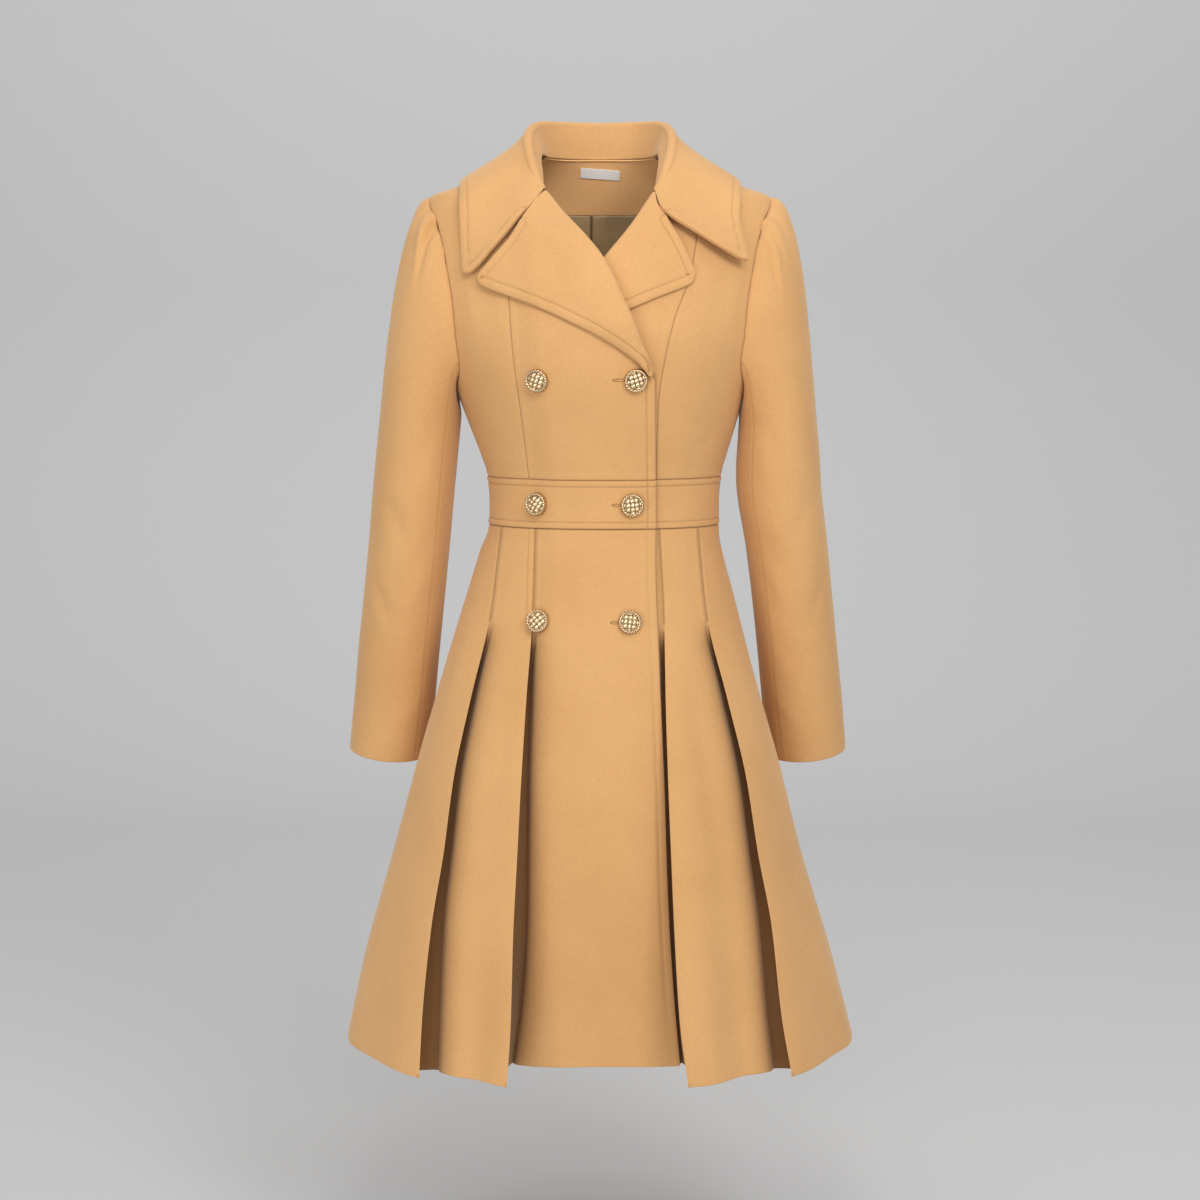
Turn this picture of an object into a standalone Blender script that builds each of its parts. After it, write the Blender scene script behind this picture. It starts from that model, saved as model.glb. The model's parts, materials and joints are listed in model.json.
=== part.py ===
"""Long double-breasted swing coat, filled out and hollow.

Metres, +Z up, front towards -Y, +X is the wearer's left.  The origin is the
centre of the neck base, where the wearer's neck and shoulders hold the coat.
Every cloth piece is a wall laid out from the body sections below.
"""
import bpy
import math
import numpy as np

# ---------------------------------------------------------------- dimensions
CLOTH = 0.0026          # one thickness of coat cloth
SATIN = 0.0010          # lining, as a wall
SEAM = 0.0004           # space left between two sewn pieces
OVERLAP = 0.0048        # how far the right front stands over the left front
RAMP = 0.030            # width over which the overlap rises from the princess seam
HEM_Z = -0.899
WAIST_TOP = -0.3127     # waistband's upper seam
WAIST_BOTTOM = -0.3633  # waistband's lower seam
PLEAT_TOP = -0.455      # the pleats are stitched down above this
NECK_Z = 0.020
ROLL_R = 0.0036         # radius of the lapel's roll, at the cloth's middle
UNDER_R = 0.0021         # the same on the left front, pressed flat by the right one
BUTTON_R = 0.0118
BUTTON_H = 0.0062
LABEL_W, LABEL_H, LABEL_T = 0.0430, 0.0100, 0.0008

# ------------------------------------------------------- sections of the body
SECTIONS = (
    # z,      half_width, front, back, widest_y, shift_x
    ( 0.0200, 0.064, 0.012, 0.071,  0.000, 0.000),
    ( 0.0120, 0.080, 0.022, 0.074,  0.000, 0.000),
    ( 0.0040, 0.098, 0.033, 0.077,  0.000, 0.000),
    (-0.0050, 0.120, 0.042, 0.080,  0.000, 0.000),
    (-0.0145, 0.144, 0.050, 0.083,  0.000, 0.000),
    (-0.0255, 0.174, 0.058, 0.086,  0.000, 0.000),
    (-0.0450, 0.180, 0.075, 0.091,  0.000, 0.000),
    (-0.0700, 0.182, 0.092, 0.096,  0.000, 0.000),
    (-0.1000, 0.181, 0.106, 0.100,  0.000, 0.000),
    (-0.1350, 0.178, 0.117, 0.101,  0.000, 0.000),
    (-0.1700, 0.171, 0.123, 0.099,  0.000, 0.000),
    (-0.1950, 0.161, 0.122, 0.096,  0.000, 0.000),
    (-0.2225, 0.1495, 0.118, 0.093, 0.000, 0.001),
    (-0.2650, 0.1350, 0.107, 0.087, 0.000, 0.003),
    (-0.2900, 0.1265, 0.101, 0.084, 0.000, 0.004),
    (-0.3130, 0.1198, 0.097, 0.083, 0.000, 0.0045),
    (-0.3400, 0.1176, 0.096, 0.084, 0.000, 0.0045),
    (-0.3660, 0.1184, 0.098, 0.087, 0.000, 0.004),
    (-0.3940, 0.1255, 0.103, 0.094, -0.004, 0.001),
    (-0.4410, 0.1389, 0.111, 0.107, -0.011, 0.000),
    (-0.4770, 0.1490, 0.117, 0.118, -0.017, -0.001),
    (-0.5320, 0.1645, 0.125, 0.131, -0.024, -0.002),
    (-0.6000, 0.1842, 0.134, 0.145, -0.031, -0.002),
    (-0.7100, 0.2131, 0.147, 0.163, -0.040, -0.003),
    (-0.8090, 0.2420, 0.157, 0.178, -0.046, -0.002),
    (-0.8990, 0.2637, 0.165, 0.190, -0.050, 0.000),
)

# half of the armhole, from the shoulder tip to the underarm point
ARMHOLE = (
    # z,      front_deg, back_deg, around_deg
    (-0.0255, 90.0,  90.0,   0.0),
    (-0.0450, 70.0, 104.0,  22.5),
    (-0.0700, 62.0, 111.0,  45.0),
    (-0.1000, 58.5, 116.0,  67.5),
    (-0.1350, 56.5, 118.0,  90.0),
    (-0.1700, 58.0, 117.0, 112.5),
    (-0.1950, 62.0, 113.0, 135.0),
    (-0.2125, 71.0, 105.0, 157.5),
    (-0.2225, 90.0,  90.0, 180.0),
)

# seams, folds and edges of the front, as x against z
PRINCESS_RIGHT = ((0.0045, -0.0965), (-0.0145, -0.0945), (-0.045, -0.0930), (-0.080, -0.0918),
                  (-0.1288, -0.0904), (-0.1844, -0.0864), (-0.2383, -0.0794), (-0.3127, -0.0713))
PRINCESS_LEFT = ((0.0045, 0.0965), (-0.0145, 0.1010), (-0.045, 0.1000), (-0.090, 0.0935),
                 (-0.1209, 0.0854), (-0.1508, 0.0742), (-0.1964, 0.0633), (-0.2382, 0.0575), (-0.3127, 0.0560))
FRONT_EDGE = ((-0.2150, 0.0520), (-0.3127, 0.0531), (-0.3940, 0.0533), (-0.5138, 0.0581), (-0.6134, 0.0627),
              (-0.7353, 0.0670), (-0.8176, 0.0720), (-0.8990, 0.0791))
NECKLINE = (
    # z,      x (from the shoulder neck point round to the top of the roll)
    ( 0.0200, 0.0630),
    ( 0.0120, 0.0655),
    ( 0.0040, 0.0650),
    (-0.0050, 0.0630),
    (-0.0145, 0.0595),
    (-0.0255, 0.0530),
)
ROLL = (
    # z,      x of the lapel's roll on the right front, wearer's right negative
    (-0.0235, -0.0545),
    (-0.0600, -0.0265),
    (-0.0966,  0.0035),
    (-0.1377,  0.0236),
    (-0.1700,  0.0375),
    (-0.1987,  0.0492),
    (-0.2150,  0.0520),
)
ROLL_UNDER = (
    # z,      x of the roll on the left front, ends under the right front
    (-0.0235,  0.0545),
    (-0.0600,  0.0300),
    (-0.0924,  0.0035),
    (-0.1150, -0.0150),
    (-0.1377, -0.0330),
    (-0.1700, -0.0480),
)

LEVELS = (0.0200, 0.0120, 0.0040, -0.0050, -0.0145, -0.0255, -0.0450, -0.0700, -0.1000, -0.1350,
          -0.1700, -0.1950, -0.2125, -0.2225, -0.2530, -0.2850, WAIST_TOP)
BAND_LEVELS = (WAIST_TOP, -0.3400, WAIST_BOTTOM)
SKIRT_LEVELS = (WAIST_BOTTOM, -0.4020, PLEAT_TOP, -0.4900, -0.5320, -0.5800, -0.6400,
                -0.7100, -0.7700, -0.8300, HEM_Z)

# the folds of the skirt front: fold_1 is the side panel's edge, fold_2 the middle panel's
FOLDS_RIGHT = (
    # z,     fold_1, out_1,  valley_1, out_v1, fold_2, out_2, valley_2
    (-0.3633, -0.1004, 0.000, -0.0960, 0.000, -0.0650, 0.000, -0.0600),
    (-0.4550, -0.1112, 0.000, -0.1065, 0.000, -0.0676, 0.000, -0.0625),
    (-0.5350, -0.1296, 0.011, -0.1235, 0.006, -0.0731, 0.012, -0.0665),
    (-0.6120, -0.1460, 0.024, -0.1384, 0.014, -0.0777, 0.025, -0.0701),
    (-0.6900, -0.1562, 0.034, -0.1475, 0.021, -0.0815, 0.037, -0.0712),
    (-0.7550, -0.1668, 0.045, -0.1544, 0.027, -0.0846, 0.048, -0.0722),
    (-0.8450, -0.1752, 0.059, -0.1580, 0.036, -0.0868, 0.062, -0.0785),
    (-0.8990, -0.1775, 0.068, -0.1595, 0.042, -0.0903, 0.072, -0.0860),
)
FOLDS_LEFT = (
    # z,     fold_1, out_1,  valley_1, out_v1, fold_2, out_2, valley_2
    (-0.3633, 0.0993, 0.000, 0.0950, 0.000, 0.0590, 0.000, 0.0550),
    (-0.4550, 0.1082, 0.000, 0.1035, 0.000, 0.0640, 0.000, 0.0585),
    (-0.5350, 0.1276, 0.011, 0.1215, 0.006, 0.0650, 0.012, 0.0606),
    (-0.6120, 0.1460, 0.024, 0.1384, 0.014, 0.0670, 0.025, 0.0640),
    (-0.6900, 0.1580, 0.035, 0.1490, 0.021, 0.0698, 0.037, 0.0670),
    (-0.7550, 0.1700, 0.045, 0.1575, 0.027, 0.0724, 0.048, 0.0697),
    (-0.8450, 0.1795, 0.059, 0.1655, 0.036, 0.0778, 0.062, 0.0752),
    (-0.8990, 0.1888, 0.068, 0.1715, 0.042, 0.0854, 0.072, 0.0806),
)

# sleeve rings below the armhole; the right sleeve hangs a little further out
SLEEVE_RIGHT = (
    # centre_x (mirrored), centre_y, centre_z, half_width, half_depth
    (0.1885, 0.001, -0.2500, 0.0425, 0.0610),
    (0.1958, 0.007, -0.3150, 0.0430, 0.0590),
    (0.2031, 0.0165, -0.3850, 0.0430, 0.0563),
    (0.2106, 0.026, -0.4500, 0.0432, 0.0535),
    (0.2167, 0.034, -0.5000, 0.0436, 0.0510),
    (0.2226, 0.042, -0.5550, 0.0436, 0.0485),
    (0.2300, 0.050, -0.6130, 0.0430, 0.0460),
)
SLEEVE_LEFT = (
    # centre_x, centre_y, centre_z, half_width, half_depth
    (0.1868, 0.001, -0.2500, 0.0405, 0.0610),
    (0.1886, 0.007, -0.3150, 0.0446, 0.0590),
    (0.1985, 0.0165, -0.3850, 0.0433, 0.0563),
    (0.2068, 0.026, -0.4500, 0.0427, 0.0535),
    (0.2127, 0.034, -0.5000, 0.0428, 0.0510),
    (0.2190, 0.042, -0.5550, 0.0432, 0.0485),
    (0.2255, 0.050, -0.6130, 0.0426, 0.0460),
)
SLEEVE_AXIS = (0.105, 0.131, -0.986)
HEAD_STEPS = 5

# the collar's stations, from the centre back to the front end; the wearer's left half,
# and the right half is its mirror image up to the last station
COLLAR = (
    # neck: deg, z,  roll x, y, z,               edge: deg, z on the body, out
    (180.0, 0.0200,  0.0000,  0.0750,  0.0600, 180.0, -0.0060, 0.0055),
    (150.0, 0.0200,  0.0370,  0.0660,  0.0600, 155.0, -0.0060, 0.0055),
    (118.0, 0.0200,  0.0610,  0.0380,  0.0570, 122.0, -0.0110, 0.0055),
    ( 90.0, 0.0200,  0.0700,  0.0080,  0.0455,  90.0, -0.0125, 0.0060),
    (  0.0, 0.0110,  0.0690, -0.0190,  0.0250,  52.4, -0.0300, 0.0065),
    (  0.0, -0.0040, 0.0635, -0.0390,  0.0045,  49.4, -0.0560, 0.0070),
)
# corners of the collar and lapels, as x and z on the front
GORGE_NOTCH = (-0.0795, -0.0520)
COLLAR_TIP_RIGHT = (-0.1335, -0.0925)
COLLAR_TIP_LEFT = (0.1385, -0.0935)
NOTCH_LEFT = (0.0735, -0.0560)
LAPEL_OUTER_RIGHT = (
    # x,      z of the outer edge, from the corner down to the break
    (-0.1160, -0.1105),
    (-0.0901, -0.1281),
    (-0.0470, -0.1453),
    (-0.0064, -0.1650),
    ( 0.0232, -0.1837),
    ( 0.0400, -0.2010),
)
LAPEL_OUTER_LEFT = (
    # x,     z of the outer edge, from the corner down to where the right front covers it
    (0.0915, -0.1085),
    (0.0840, -0.1175),
    (0.0560, -0.1280),
    (0.0252, -0.1423),
    (0.0110, -0.1465),
)
BUTTONS = (
    # name,                x,       z
    ("button_1_inner", -0.0602, -0.2112),
    ("button_1_outer",  0.0342, -0.2112),
    ("button_2_inner", -0.0612, -0.3380),
    ("button_2_outer",  0.0306, -0.3380),
    ("button_3_inner", -0.0608, -0.4565),
    ("button_3_outer",  0.0287, -0.4565),
)
CAMEL = (0.62, 0.36, 0.15)
SATIN_TAN = (0.33, 0.23, 0.12)


# ------------------------------------------------------------------ functions
class Smooth:
    """A smooth curve without overshoot through a table's two columns."""

    def __init__(self, xs, ys):
        order = np.argsort(xs)
        self.x = np.asarray(xs, float)[order]
        self.y = np.asarray(ys, float)[order]
        h = np.diff(self.x)
        d = np.diff(self.y) / h
        m = np.zeros(len(self.x))
        m[0], m[-1] = d[0], d[-1]
        for i in range(1, len(m) - 1):
            if d[i - 1] * d[i] > 0:
                w1, w2 = 2 * h[i] + h[i - 1], h[i] + 2 * h[i - 1]
                m[i] = (w1 + w2) / (w1 / d[i - 1] + w2 / d[i])
        self.m = m

    def __call__(self, q):
        q = min(max(q, self.x[0]), self.x[-1])
        i = min(max(int(np.searchsorted(self.x, q)) - 1, 0), len(self.x) - 2)
        h = self.x[i + 1] - self.x[i]
        t = (q - self.x[i]) / h
        return float((1 + 2 * t) * (1 - t) ** 2 * self.y[i] + t * (1 - t) ** 2 * h * self.m[i]
                     + t * t * (3 - 2 * t) * self.y[i + 1] + t * t * (t - 1) * h * self.m[i + 1])


def column(table, key, value):
    return Smooth([row[key] for row in table], [row[value] for row in table])


half_width = column(SECTIONS, 0, 1)
front_y = column(SECTIONS, 0, 2)
back_y = column(SECTIONS, 0, 3)
widest_y = column(SECTIONS, 0, 4)
shift_x = column(SECTIONS, 0, 5)
arm_front = column(ARMHOLE, 0, 1)
arm_back = column(ARMHOLE, 0, 2)
princess_right = column(PRINCESS_RIGHT, 0, 1)
princess_left = column(PRINCESS_LEFT, 0, 1)
front_edge = column(FRONT_EDGE, 0, 1)
neckline = column(NECKLINE, 0, 1)
roll_line = column(ROLL, 0, 1)
roll_under = column(ROLL_UNDER, 0, 1)


def step(q):
    q = min(max(q, 0.0), 1.0)
    return q * q * (3 - 2 * q)


def base(deg, z):
    """A point of the body: 0 degrees is the centre front, 90 the wearer's left."""
    t = math.radians(deg)
    s, c = math.sin(t), math.cos(t)
    y0 = widest_y(z)
    y = y0 - (front_y(z) + y0) * c if c > 0 else y0 - (back_y(z) - y0) * c
    return np.array([shift_x(z) + half_width(z) * s, y, z])


def normal(deg, z):
    across = base(deg + 0.5, z) - base(deg - 0.5, z)
    up = base(deg, min(z + 0.001, NECK_Z)) - base(deg, z - 0.001)
    n = np.cross(across, up)
    return n / np.linalg.norm(n)


def skin(deg, z, out):
    return base(deg, z) + normal(deg, z) * out


def deg_at(x, z):
    """The front's angle where the body is x to the side at height z."""
    q = (x - shift_x(z)) / half_width(z)
    return math.degrees(math.asin(min(max(q, -1.0), 1.0)))


def on_front(x, z, out):
    return skin(deg_at(x, z), z, out)


def lift_right(x, z):
    """How far the right front stands off the body: over the left front and its lapel."""
    edge = princess_right(z) if z > WAIST_TOP else -0.0713
    rise = OVERLAP * step((x - edge - 0.002) / RAMP) * step((-0.045 - z) / 0.035)
    under = step((z + 0.185) / 0.03) * step((-0.045 - z) / 0.03)
    near = step((x - roll_line(z) + 0.055) / 0.03)
    return rise + 0.0036 * under * near


def unit(v):
    return v / np.linalg.norm(v)


def material(name, colour, roughness, metallic=0.0):
    mat = bpy.data.materials.get(name) or bpy.data.materials.new(name)
    mat.use_nodes = True
    shader = mat.node_tree.nodes["Principled BSDF"]
    shader.inputs["Base Color"].default_value = (*colour, 1.0)
    shader.inputs["Roughness"].default_value = roughness
    shader.inputs["Metallic"].default_value = metallic
    return mat


def solid(name, outer, inner, mat, ring=False):
    """A closed wall between two grids of points with the same rows and columns."""
    outer, inner = np.asarray(outer, float), np.asarray(inner, float)
    rows, cols = outer.shape[:2]
    count = rows * cols
    points = np.concatenate([outer.reshape(-1, 3), inner.reshape(-1, 3)])
    tris = []

    def quad(a, b, c, d):
        tris.append((a, b, c))
        tris.append((a, c, d))

    last = cols if ring else cols - 1
    for i in range(rows - 1):
        for j in range(last):
            k = (j + 1) % cols
            a, b, c, d = i * cols + j, i * cols + k, (i + 1) * cols + k, (i + 1) * cols + j
            quad(a, b, c, d)
            tris.append((a + count, c + count, b + count))
            tris.append((a + count, d + count, c + count))
    for j in range(last):
        k = (j + 1) % cols
        quad(k, j, j + count, k + count)
        a, b = (rows - 1) * cols + j, (rows - 1) * cols + k
        quad(a, b, b + count, a + count)
    if not ring:
        for i in range(rows - 1):
            a, b = i * cols, (i + 1) * cols
            quad(a, b, b + count, a + count)
            a, b = a + cols - 1, b + cols - 1
            quad(b, a, a + count, b + count)
    volume = sum(np.dot(points[a], np.cross(points[b], points[c])) for a, b, c in tris)
    if volume < 0:
        tris = [(a, c, b) for a, b, c in tris]
    mesh = bpy.data.meshes.new(name)
    mesh.from_pydata([tuple(p) for p in points], [], tris)
    mesh.materials.append(mat)
    mesh.shade_smooth()
    mesh.set_sharp_from_angle(angle=math.radians(50))
    obj = bpy.data.objects.new(name, mesh)
    bpy.context.scene.collection.objects.link(obj)
    return obj


def spaced(levels, top=True, bottom=True):
    """The levels of a piece, its two ends drawn back by half a seam."""
    z = list(levels)
    if top:
        z[0] -= SEAM / 2
    if bottom:
        z[-1] += SEAM / 2
    return z


def seam_deg(z):
    return math.degrees(SEAM / 2 / half_width(z))


def seam_shift(curve, z):
    """Degrees that a panel's edge draws back, so that the seam's own width is right."""
    lo, hi = z - 0.002, min(z + 0.002, NECK_Z)
    along = base(curve(hi), hi) - base(curve(lo), lo)
    d = curve(z)
    per_deg = base(d + 0.5, z) - base(d - 0.5, z)
    size = np.linalg.norm(per_deg)
    across = np.linalg.norm(np.cross(per_deg, unit(along)))
    shoulder = 2.0 if z > -0.05 else 1.0
    return shoulder * SEAM / 2 / max(across, 0.3 * size)


def panel(name, levels, start, end, columns, lift, mat, thick=CLOTH):
    """A panel of the bodice between two seams, given as degrees against height."""
    outer, inner = [], []
    for z in levels:
        a, b = start(z) + seam_shift(start, z), end(z) - seam_shift(end, z)
        row = [a + (b - a) * j / columns for j in range(columns + 1)]
        outer.append([skin(d, z, lift(d, z) + thick) for d in row])
        inner.append([skin(d, z, lift(d, z)) for d in row])
    return solid(name, outer, inner, mat)


def x_of(deg, z):
    return shift_x(z) + half_width(z) * math.sin(math.radians(deg))


def offset_path(path, distance):
    """The plan's path moved to its inner side, with mitred corners."""
    result = []
    for i, p in enumerate(path):
        before = unit(path[i] - path[i - 1]) if i else None
        after = unit(path[i + 1] - path[i]) if i < len(path) - 1 else None
        before = after if before is None else before
        after = before if after is None else after
        n1 = np.array([-before[1], before[0]])
        n2 = np.array([-after[1], after[0]])
        n = unit(n1 + n2)
        result.append(p + n * distance / max(float(np.dot(n, n1)), 0.45))
    return result


# ------------------------------------------------------------------- bodice
def zero(deg, z):
    return 0.0


def front_panels(camel):
    def beside(line, z, reach):
        """The panel's edge where the cloth starts to turn, square to the roll line."""
        slope = (line(z + 0.003) - line(z - 0.003)) / 0.006
        return reach * math.sqrt(1 + slope * slope)

    def inner_right(z):
        if z > -0.0235:
            return deg_at(-neckline(z), z)
        reach = beside(roll_line, z, ROLL_R + CLOTH / 2 + 0.0006) * (1 - step((-0.195 - z) / 0.018))
        return deg_at(min(roll_line(z), front_edge(z)) - reach, z) if z > -0.213 else deg_at(front_edge(z), z)

    def outer_right(z):
        return -90.0 if z > 0.0042 else deg_at(princess_right(z), z)

    panel("front_right_centre", spaced(LEVELS, top=False), outer_right, inner_right, 5,
          lambda d, z: lift_right(x_of(d, z), z), camel)

    def hidden_edge(z):
        return princess_right(z) + 0.0255

    def inner_left(z):
        if z > -0.0235:
            return deg_at(neckline(z), z)
        x = roll_under(z) + beside(roll_under, z, UNDER_R + CLOTH / 2 + 0.0006) if z > -0.172 else hidden_edge(z)
        return deg_at(max(x, hidden_edge(z)), z)

    def outer_left(z):
        return 90.0 if z > 0.0042 else deg_at(princess_left(z), z)

    panel("front_left_centre", spaced(LEVELS, top=False), inner_left, outer_left, 5, zero, camel)

    side = spaced([z for z in LEVELS if z < 0.0045], top=False)

    def armhole(z):
        return arm_front(z) if -0.2225 < z < -0.0255 else 90.0

    panel("front_right_side", side, lambda z: -armhole(z), lambda z: deg_at(princess_right(z), z), 4,
          lambda d, z: lift_right(x_of(d, z), z), camel)
    panel("front_left_side", side, lambda z: deg_at(princess_left(z), z), armhole, 4, zero, camel)


def back_seam(z):
    """The back's princess seam, from the shoulder to the waist."""
    return 180.0 - (48.0 - 16.0 * step((NECK_Z - z) / (NECK_Z - WAIST_TOP)))


def back_panels(camel, satin, label_mat):
    def armhole(z):
        return arm_back(z) if -0.2225 < z < -0.0255 else 90.0

    levels = spaced(LEVELS, top=False)
    panel("back_centre", levels, back_seam, lambda z: 360.0 - back_seam(z), 8, zero, camel)
    panel("back_side_left", levels, armhole, back_seam, 4, zero, camel)
    panel("back_side_right", levels, lambda z: 360.0 - back_seam(z), lambda z: 360.0 - armhole(z), 4,
          zero, camel)

    # facing and lining lie on the inside of the back, on the same rows and columns
    facing_levels = [z for z in LEVELS if z > -0.0451]
    facing_levels[-1] = -0.0350
    facing_levels = [0.0200 - SEAM] + [z for z in facing_levels[1:] if z >= -0.0351]
    inside = -0.0014
    outer, inner = [], []
    for z in facing_levels:
        half = 180.0 - back_seam(z) - 0.6
        row = [180.0 - half + 2 * half * j / 10 for j in range(11)]
        outer.append([skin(d, z, inside) for d in row])
        inner.append([skin(d, z, inside - 0.0016) for d in row])
    solid("back_neck_facing", outer, inner, camel)

    outer, inner = [], []
    lining_levels = [-0.0350 - SEAM] + [z for z in LEVELS if z < -0.0351]
    lining_levels[-1] += 0.006
    for z in lining_levels:
        half = 180.0 - back_seam(z) - 0.6
        row = [180.0 - half + 2 * half * j / 8 for j in range(9)]
        pleat = [0.0028 * max(0.0, 1 - abs(d - 180.0) / 4.0) for d in row]
        outer.append([skin(d, z, inside) for d in row])
        inner.append([skin(d, z, inside - SATIN - p) for d, p in zip(row, pleat)])
    solid("back_lining", outer, inner, satin)

    # the label lies on the facing, turned a little on it
    outer, inner = [], []
    tilt = math.radians(4.0)
    for i in range(3):
        v = (0.5 - i / 2) * LABEL_H
        row_o, row_i = [], []
        for j in range(5):
            u = (j / 4 - 0.5) * LABEL_W
            x, z = u * math.cos(tilt) + v * math.sin(tilt), 0.0078 + v * math.cos(tilt) - u * math.sin(tilt)
            deg = 180.0 - math.degrees(math.asin(x / half_width(z)))
            gap = inside - 0.0016 - 0.0005
            row_o.append(skin(deg, z, gap))
            row_i.append(skin(deg, z, gap - LABEL_T))
        outer.append(row_o)
        inner.append(row_i)
    solid("label", outer, inner, label_mat)


# ---------------------------------------------------------------- waistband
def waistband(camel):
    levels = spaced(BAND_LEVELS)

    def strip(name, start, end, columns, lift):
        panel(name, levels, start, end, columns, lift, camel, thick=CLOTH + 0.0006)

    strip("waistband_right", lambda z: -90.0, lambda z: deg_at(front_edge(z), z), 13,
          lambda d, z: lift_right(x_of(d, z), z))
    strip("waistband_left", lambda z: deg_at(-0.0420, z), lambda z: 90.0, 8, zero)
    strip("waistband_back", lambda z: 90.0, lambda z: 270.0, 12, zero)


# -------------------------------------------------------------------- skirt
def pleat_row(side, z):
    """Plan points of one skirt row: (points, index of fold 1, index of fold 2).

    The path runs from the side seam to the front's free edge.
    """
    table = FOLDS_RIGHT if side < 0 else FOLDS_LEFT
    value = [column(table, 0, k)(z) for k in range(1, 8)]
    f1, o1, v1, ov, f2, o2, v2 = value
    points = []

    def add(x, out, deg=None, lift=0.0):
        d = deg if deg is not None else deg_at(x, z)
        p = skin(d, z, CLOTH + lift)
        points.append(p + np.array([0.0, -out, 0.0]))

    d0, d1 = side * (90.0 - seam_deg(z)), deg_at(f1, z)
    for k in range(6):
        s = k / 5
        add(None, o1 * s ** 1.2, d0 + (d1 - d0) * s)
    i1 = len(points) - 1
    d0, d1 = deg_at(v1, z), deg_at(f2, z)
    for k in range(5):
        s = k / 4
        add(None, ov + (o2 - ov) * s, d0 + (d1 - d0) * s)
    i2 = len(points) - 1
    if side < 0:
        d0, d1 = deg_at(v2, z), deg_at(front_edge(z), z)
        for k in range(8):
            s = k / 7
            d = d0 + (d1 - d0) * s
            add(None, 0.0, d, OVERLAP * step((x_of(d, z) - v2 + 0.008) / RAMP))
    else:
        d0, d1 = deg_at(v2, z), deg_at(-0.0330, z)
        for k in range(6):
            add(None, 0.0, d0 + (d1 - d0) * k / 5)
    return points, i1, i2


def skirt_front(side, camel):
    word = "right" if side < 0 else "left"
    levels = spaced(SKIRT_LEVELS, bottom=False)
    sheets = {"side": ([], []), "middle": ([], []), "centre": ([], [])}
    for z in levels:
        outer, i1, i2 = pleat_row(side, z)
        plan = [p[:2] for p in outer]
        inner_plan = offset_path(plan, CLOTH if side < 0 else -CLOTH)
        inner = []
        for p, q in zip(outer, inner_plan):
            tilt = normal(deg_at(p[0], z), z)[2]
            inner.append(np.array([q[0], q[1], p[2] - CLOTH * tilt]))
        for key, lo, hi in (("side", 0, i1), ("middle", i1, i2), ("centre", i2, len(outer) - 1)):
            o, n = [p.copy() for p in outer[lo:hi + 1]], [p.copy() for p in inner[lo:hi + 1]]
            if lo:
                along = unit(o[1] - o[0])
                o[0], n[0] = o[0] + along * SEAM, n[0] + along * SEAM
            if hi < len(outer) - 1:
                along = unit(o[-2] - o[-1])
                o[-1], n[-1] = o[-1] + along * SEAM, n[-1] + along * SEAM
            sheets[key][0].append(o)
            sheets[key][1].append(n)
    for key, (o, n) in sheets.items():
        solid("skirt_%s_%s" % (word, key), o, n, camel)


def back_flute(deg, z):
    """Soft flutes that deepen towards the hem."""
    open_ = max(0.0, (PLEAT_TOP - z) / (PLEAT_TOP - HEM_Z))
    t = (abs(deg - 180.0)) / 90.0
    wave = math.sin(math.pi * t * 3.0 + 0.4) * math.sin(math.pi * min(1.0, t * 1.02)) ** 0.5
    return 0.010 * open_ ** 1.2 * (wave + 0.2) * (1.0 - step((t - 0.55) / 0.3))


def skirt_back(camel):
    levels = spaced(SKIRT_LEVELS, bottom=False)
    panel("skirt_back_left", levels, lambda z: 90.0, lambda z: 180.0, 8, back_flute, camel)
    panel("skirt_back_right", levels, lambda z: 180.0, lambda z: 270.0, 8, back_flute, camel)


# ------------------------------------------------------------------ sleeves
def armhole_ring():
    """Sixteen points round the wearer's left armhole: (point, angle round the sleeve)."""
    ring = []
    rows = [(r[1], r[0], r[3]) for r in ARMHOLE] + [(r[2], r[0], 360.0 - r[3]) for r in ARMHOLE[-2:0:-1]]
    for deg, z, around in rows:
        ring.append((deg, z, around))
    return ring


def sleeve_grid(table, trim):
    """A sleeve's outer surface on the wearer's left: rows down the sleeve, columns round it."""
    ring = armhole_ring()
    n = len(ring)
    start = [skin(d, z, 0.0018) for d, z, _ in ring]
    centre = sum(start) / n
    axis = unit(np.array(SLEEVE_AXIS))
    u = unit(np.cross((0.0, 1.0, 0.0), -axis))
    if u[0] < 0:
        u = -u
    v = unit(np.cross(axis, u))
    if v[1] > 0:
        v = -v
    columns = []
    for k in range(n):
        deg, z, around = ring[k]
        t = math.radians(around)
        before, after = start[k - 1], start[(k + 1) % n]
        tangent = unit(after - before)
        nb = normal(deg, z)
        into = unit(np.cross(nb, tangent))
        if np.dot(into, centre - start[k]) < 0:
            into = -into
        a = start[k] + into * SEAM
        rings = []
        for cx, cy, cz, rx, ry in table:
            rings.append(np.array([cx, cy, cz]) + u * rx * math.cos(t) + v * ry * math.sin(t))
        b = rings[0]
        t0 = unit(np.array([1.0, -0.55 * math.sin(t), 0.10 * math.cos(t)]))
        l0 = max(0.005, 0.019 + 0.015 * math.cos(t)) - trim * max(0.0, math.cos(t))
        l1 = 0.55 * np.linalg.norm(b - a)
        c1, c2 = a + t0 * l0, b - axis * l1
        column_points = [a]
        for i in range(1, HEAD_STEPS + 1):
            s = i / HEAD_STEPS
            s = s ** 1.35
            column_points.append((1 - s) ** 3 * a + 3 * s * (1 - s) ** 2 * c1 + 3 * s * s * (1 - s) * c2 + s ** 3 * b)
        columns.append(column_points + rings[1:])
    grid = np.array(columns).transpose(1, 0, 2)
    return grid


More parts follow.
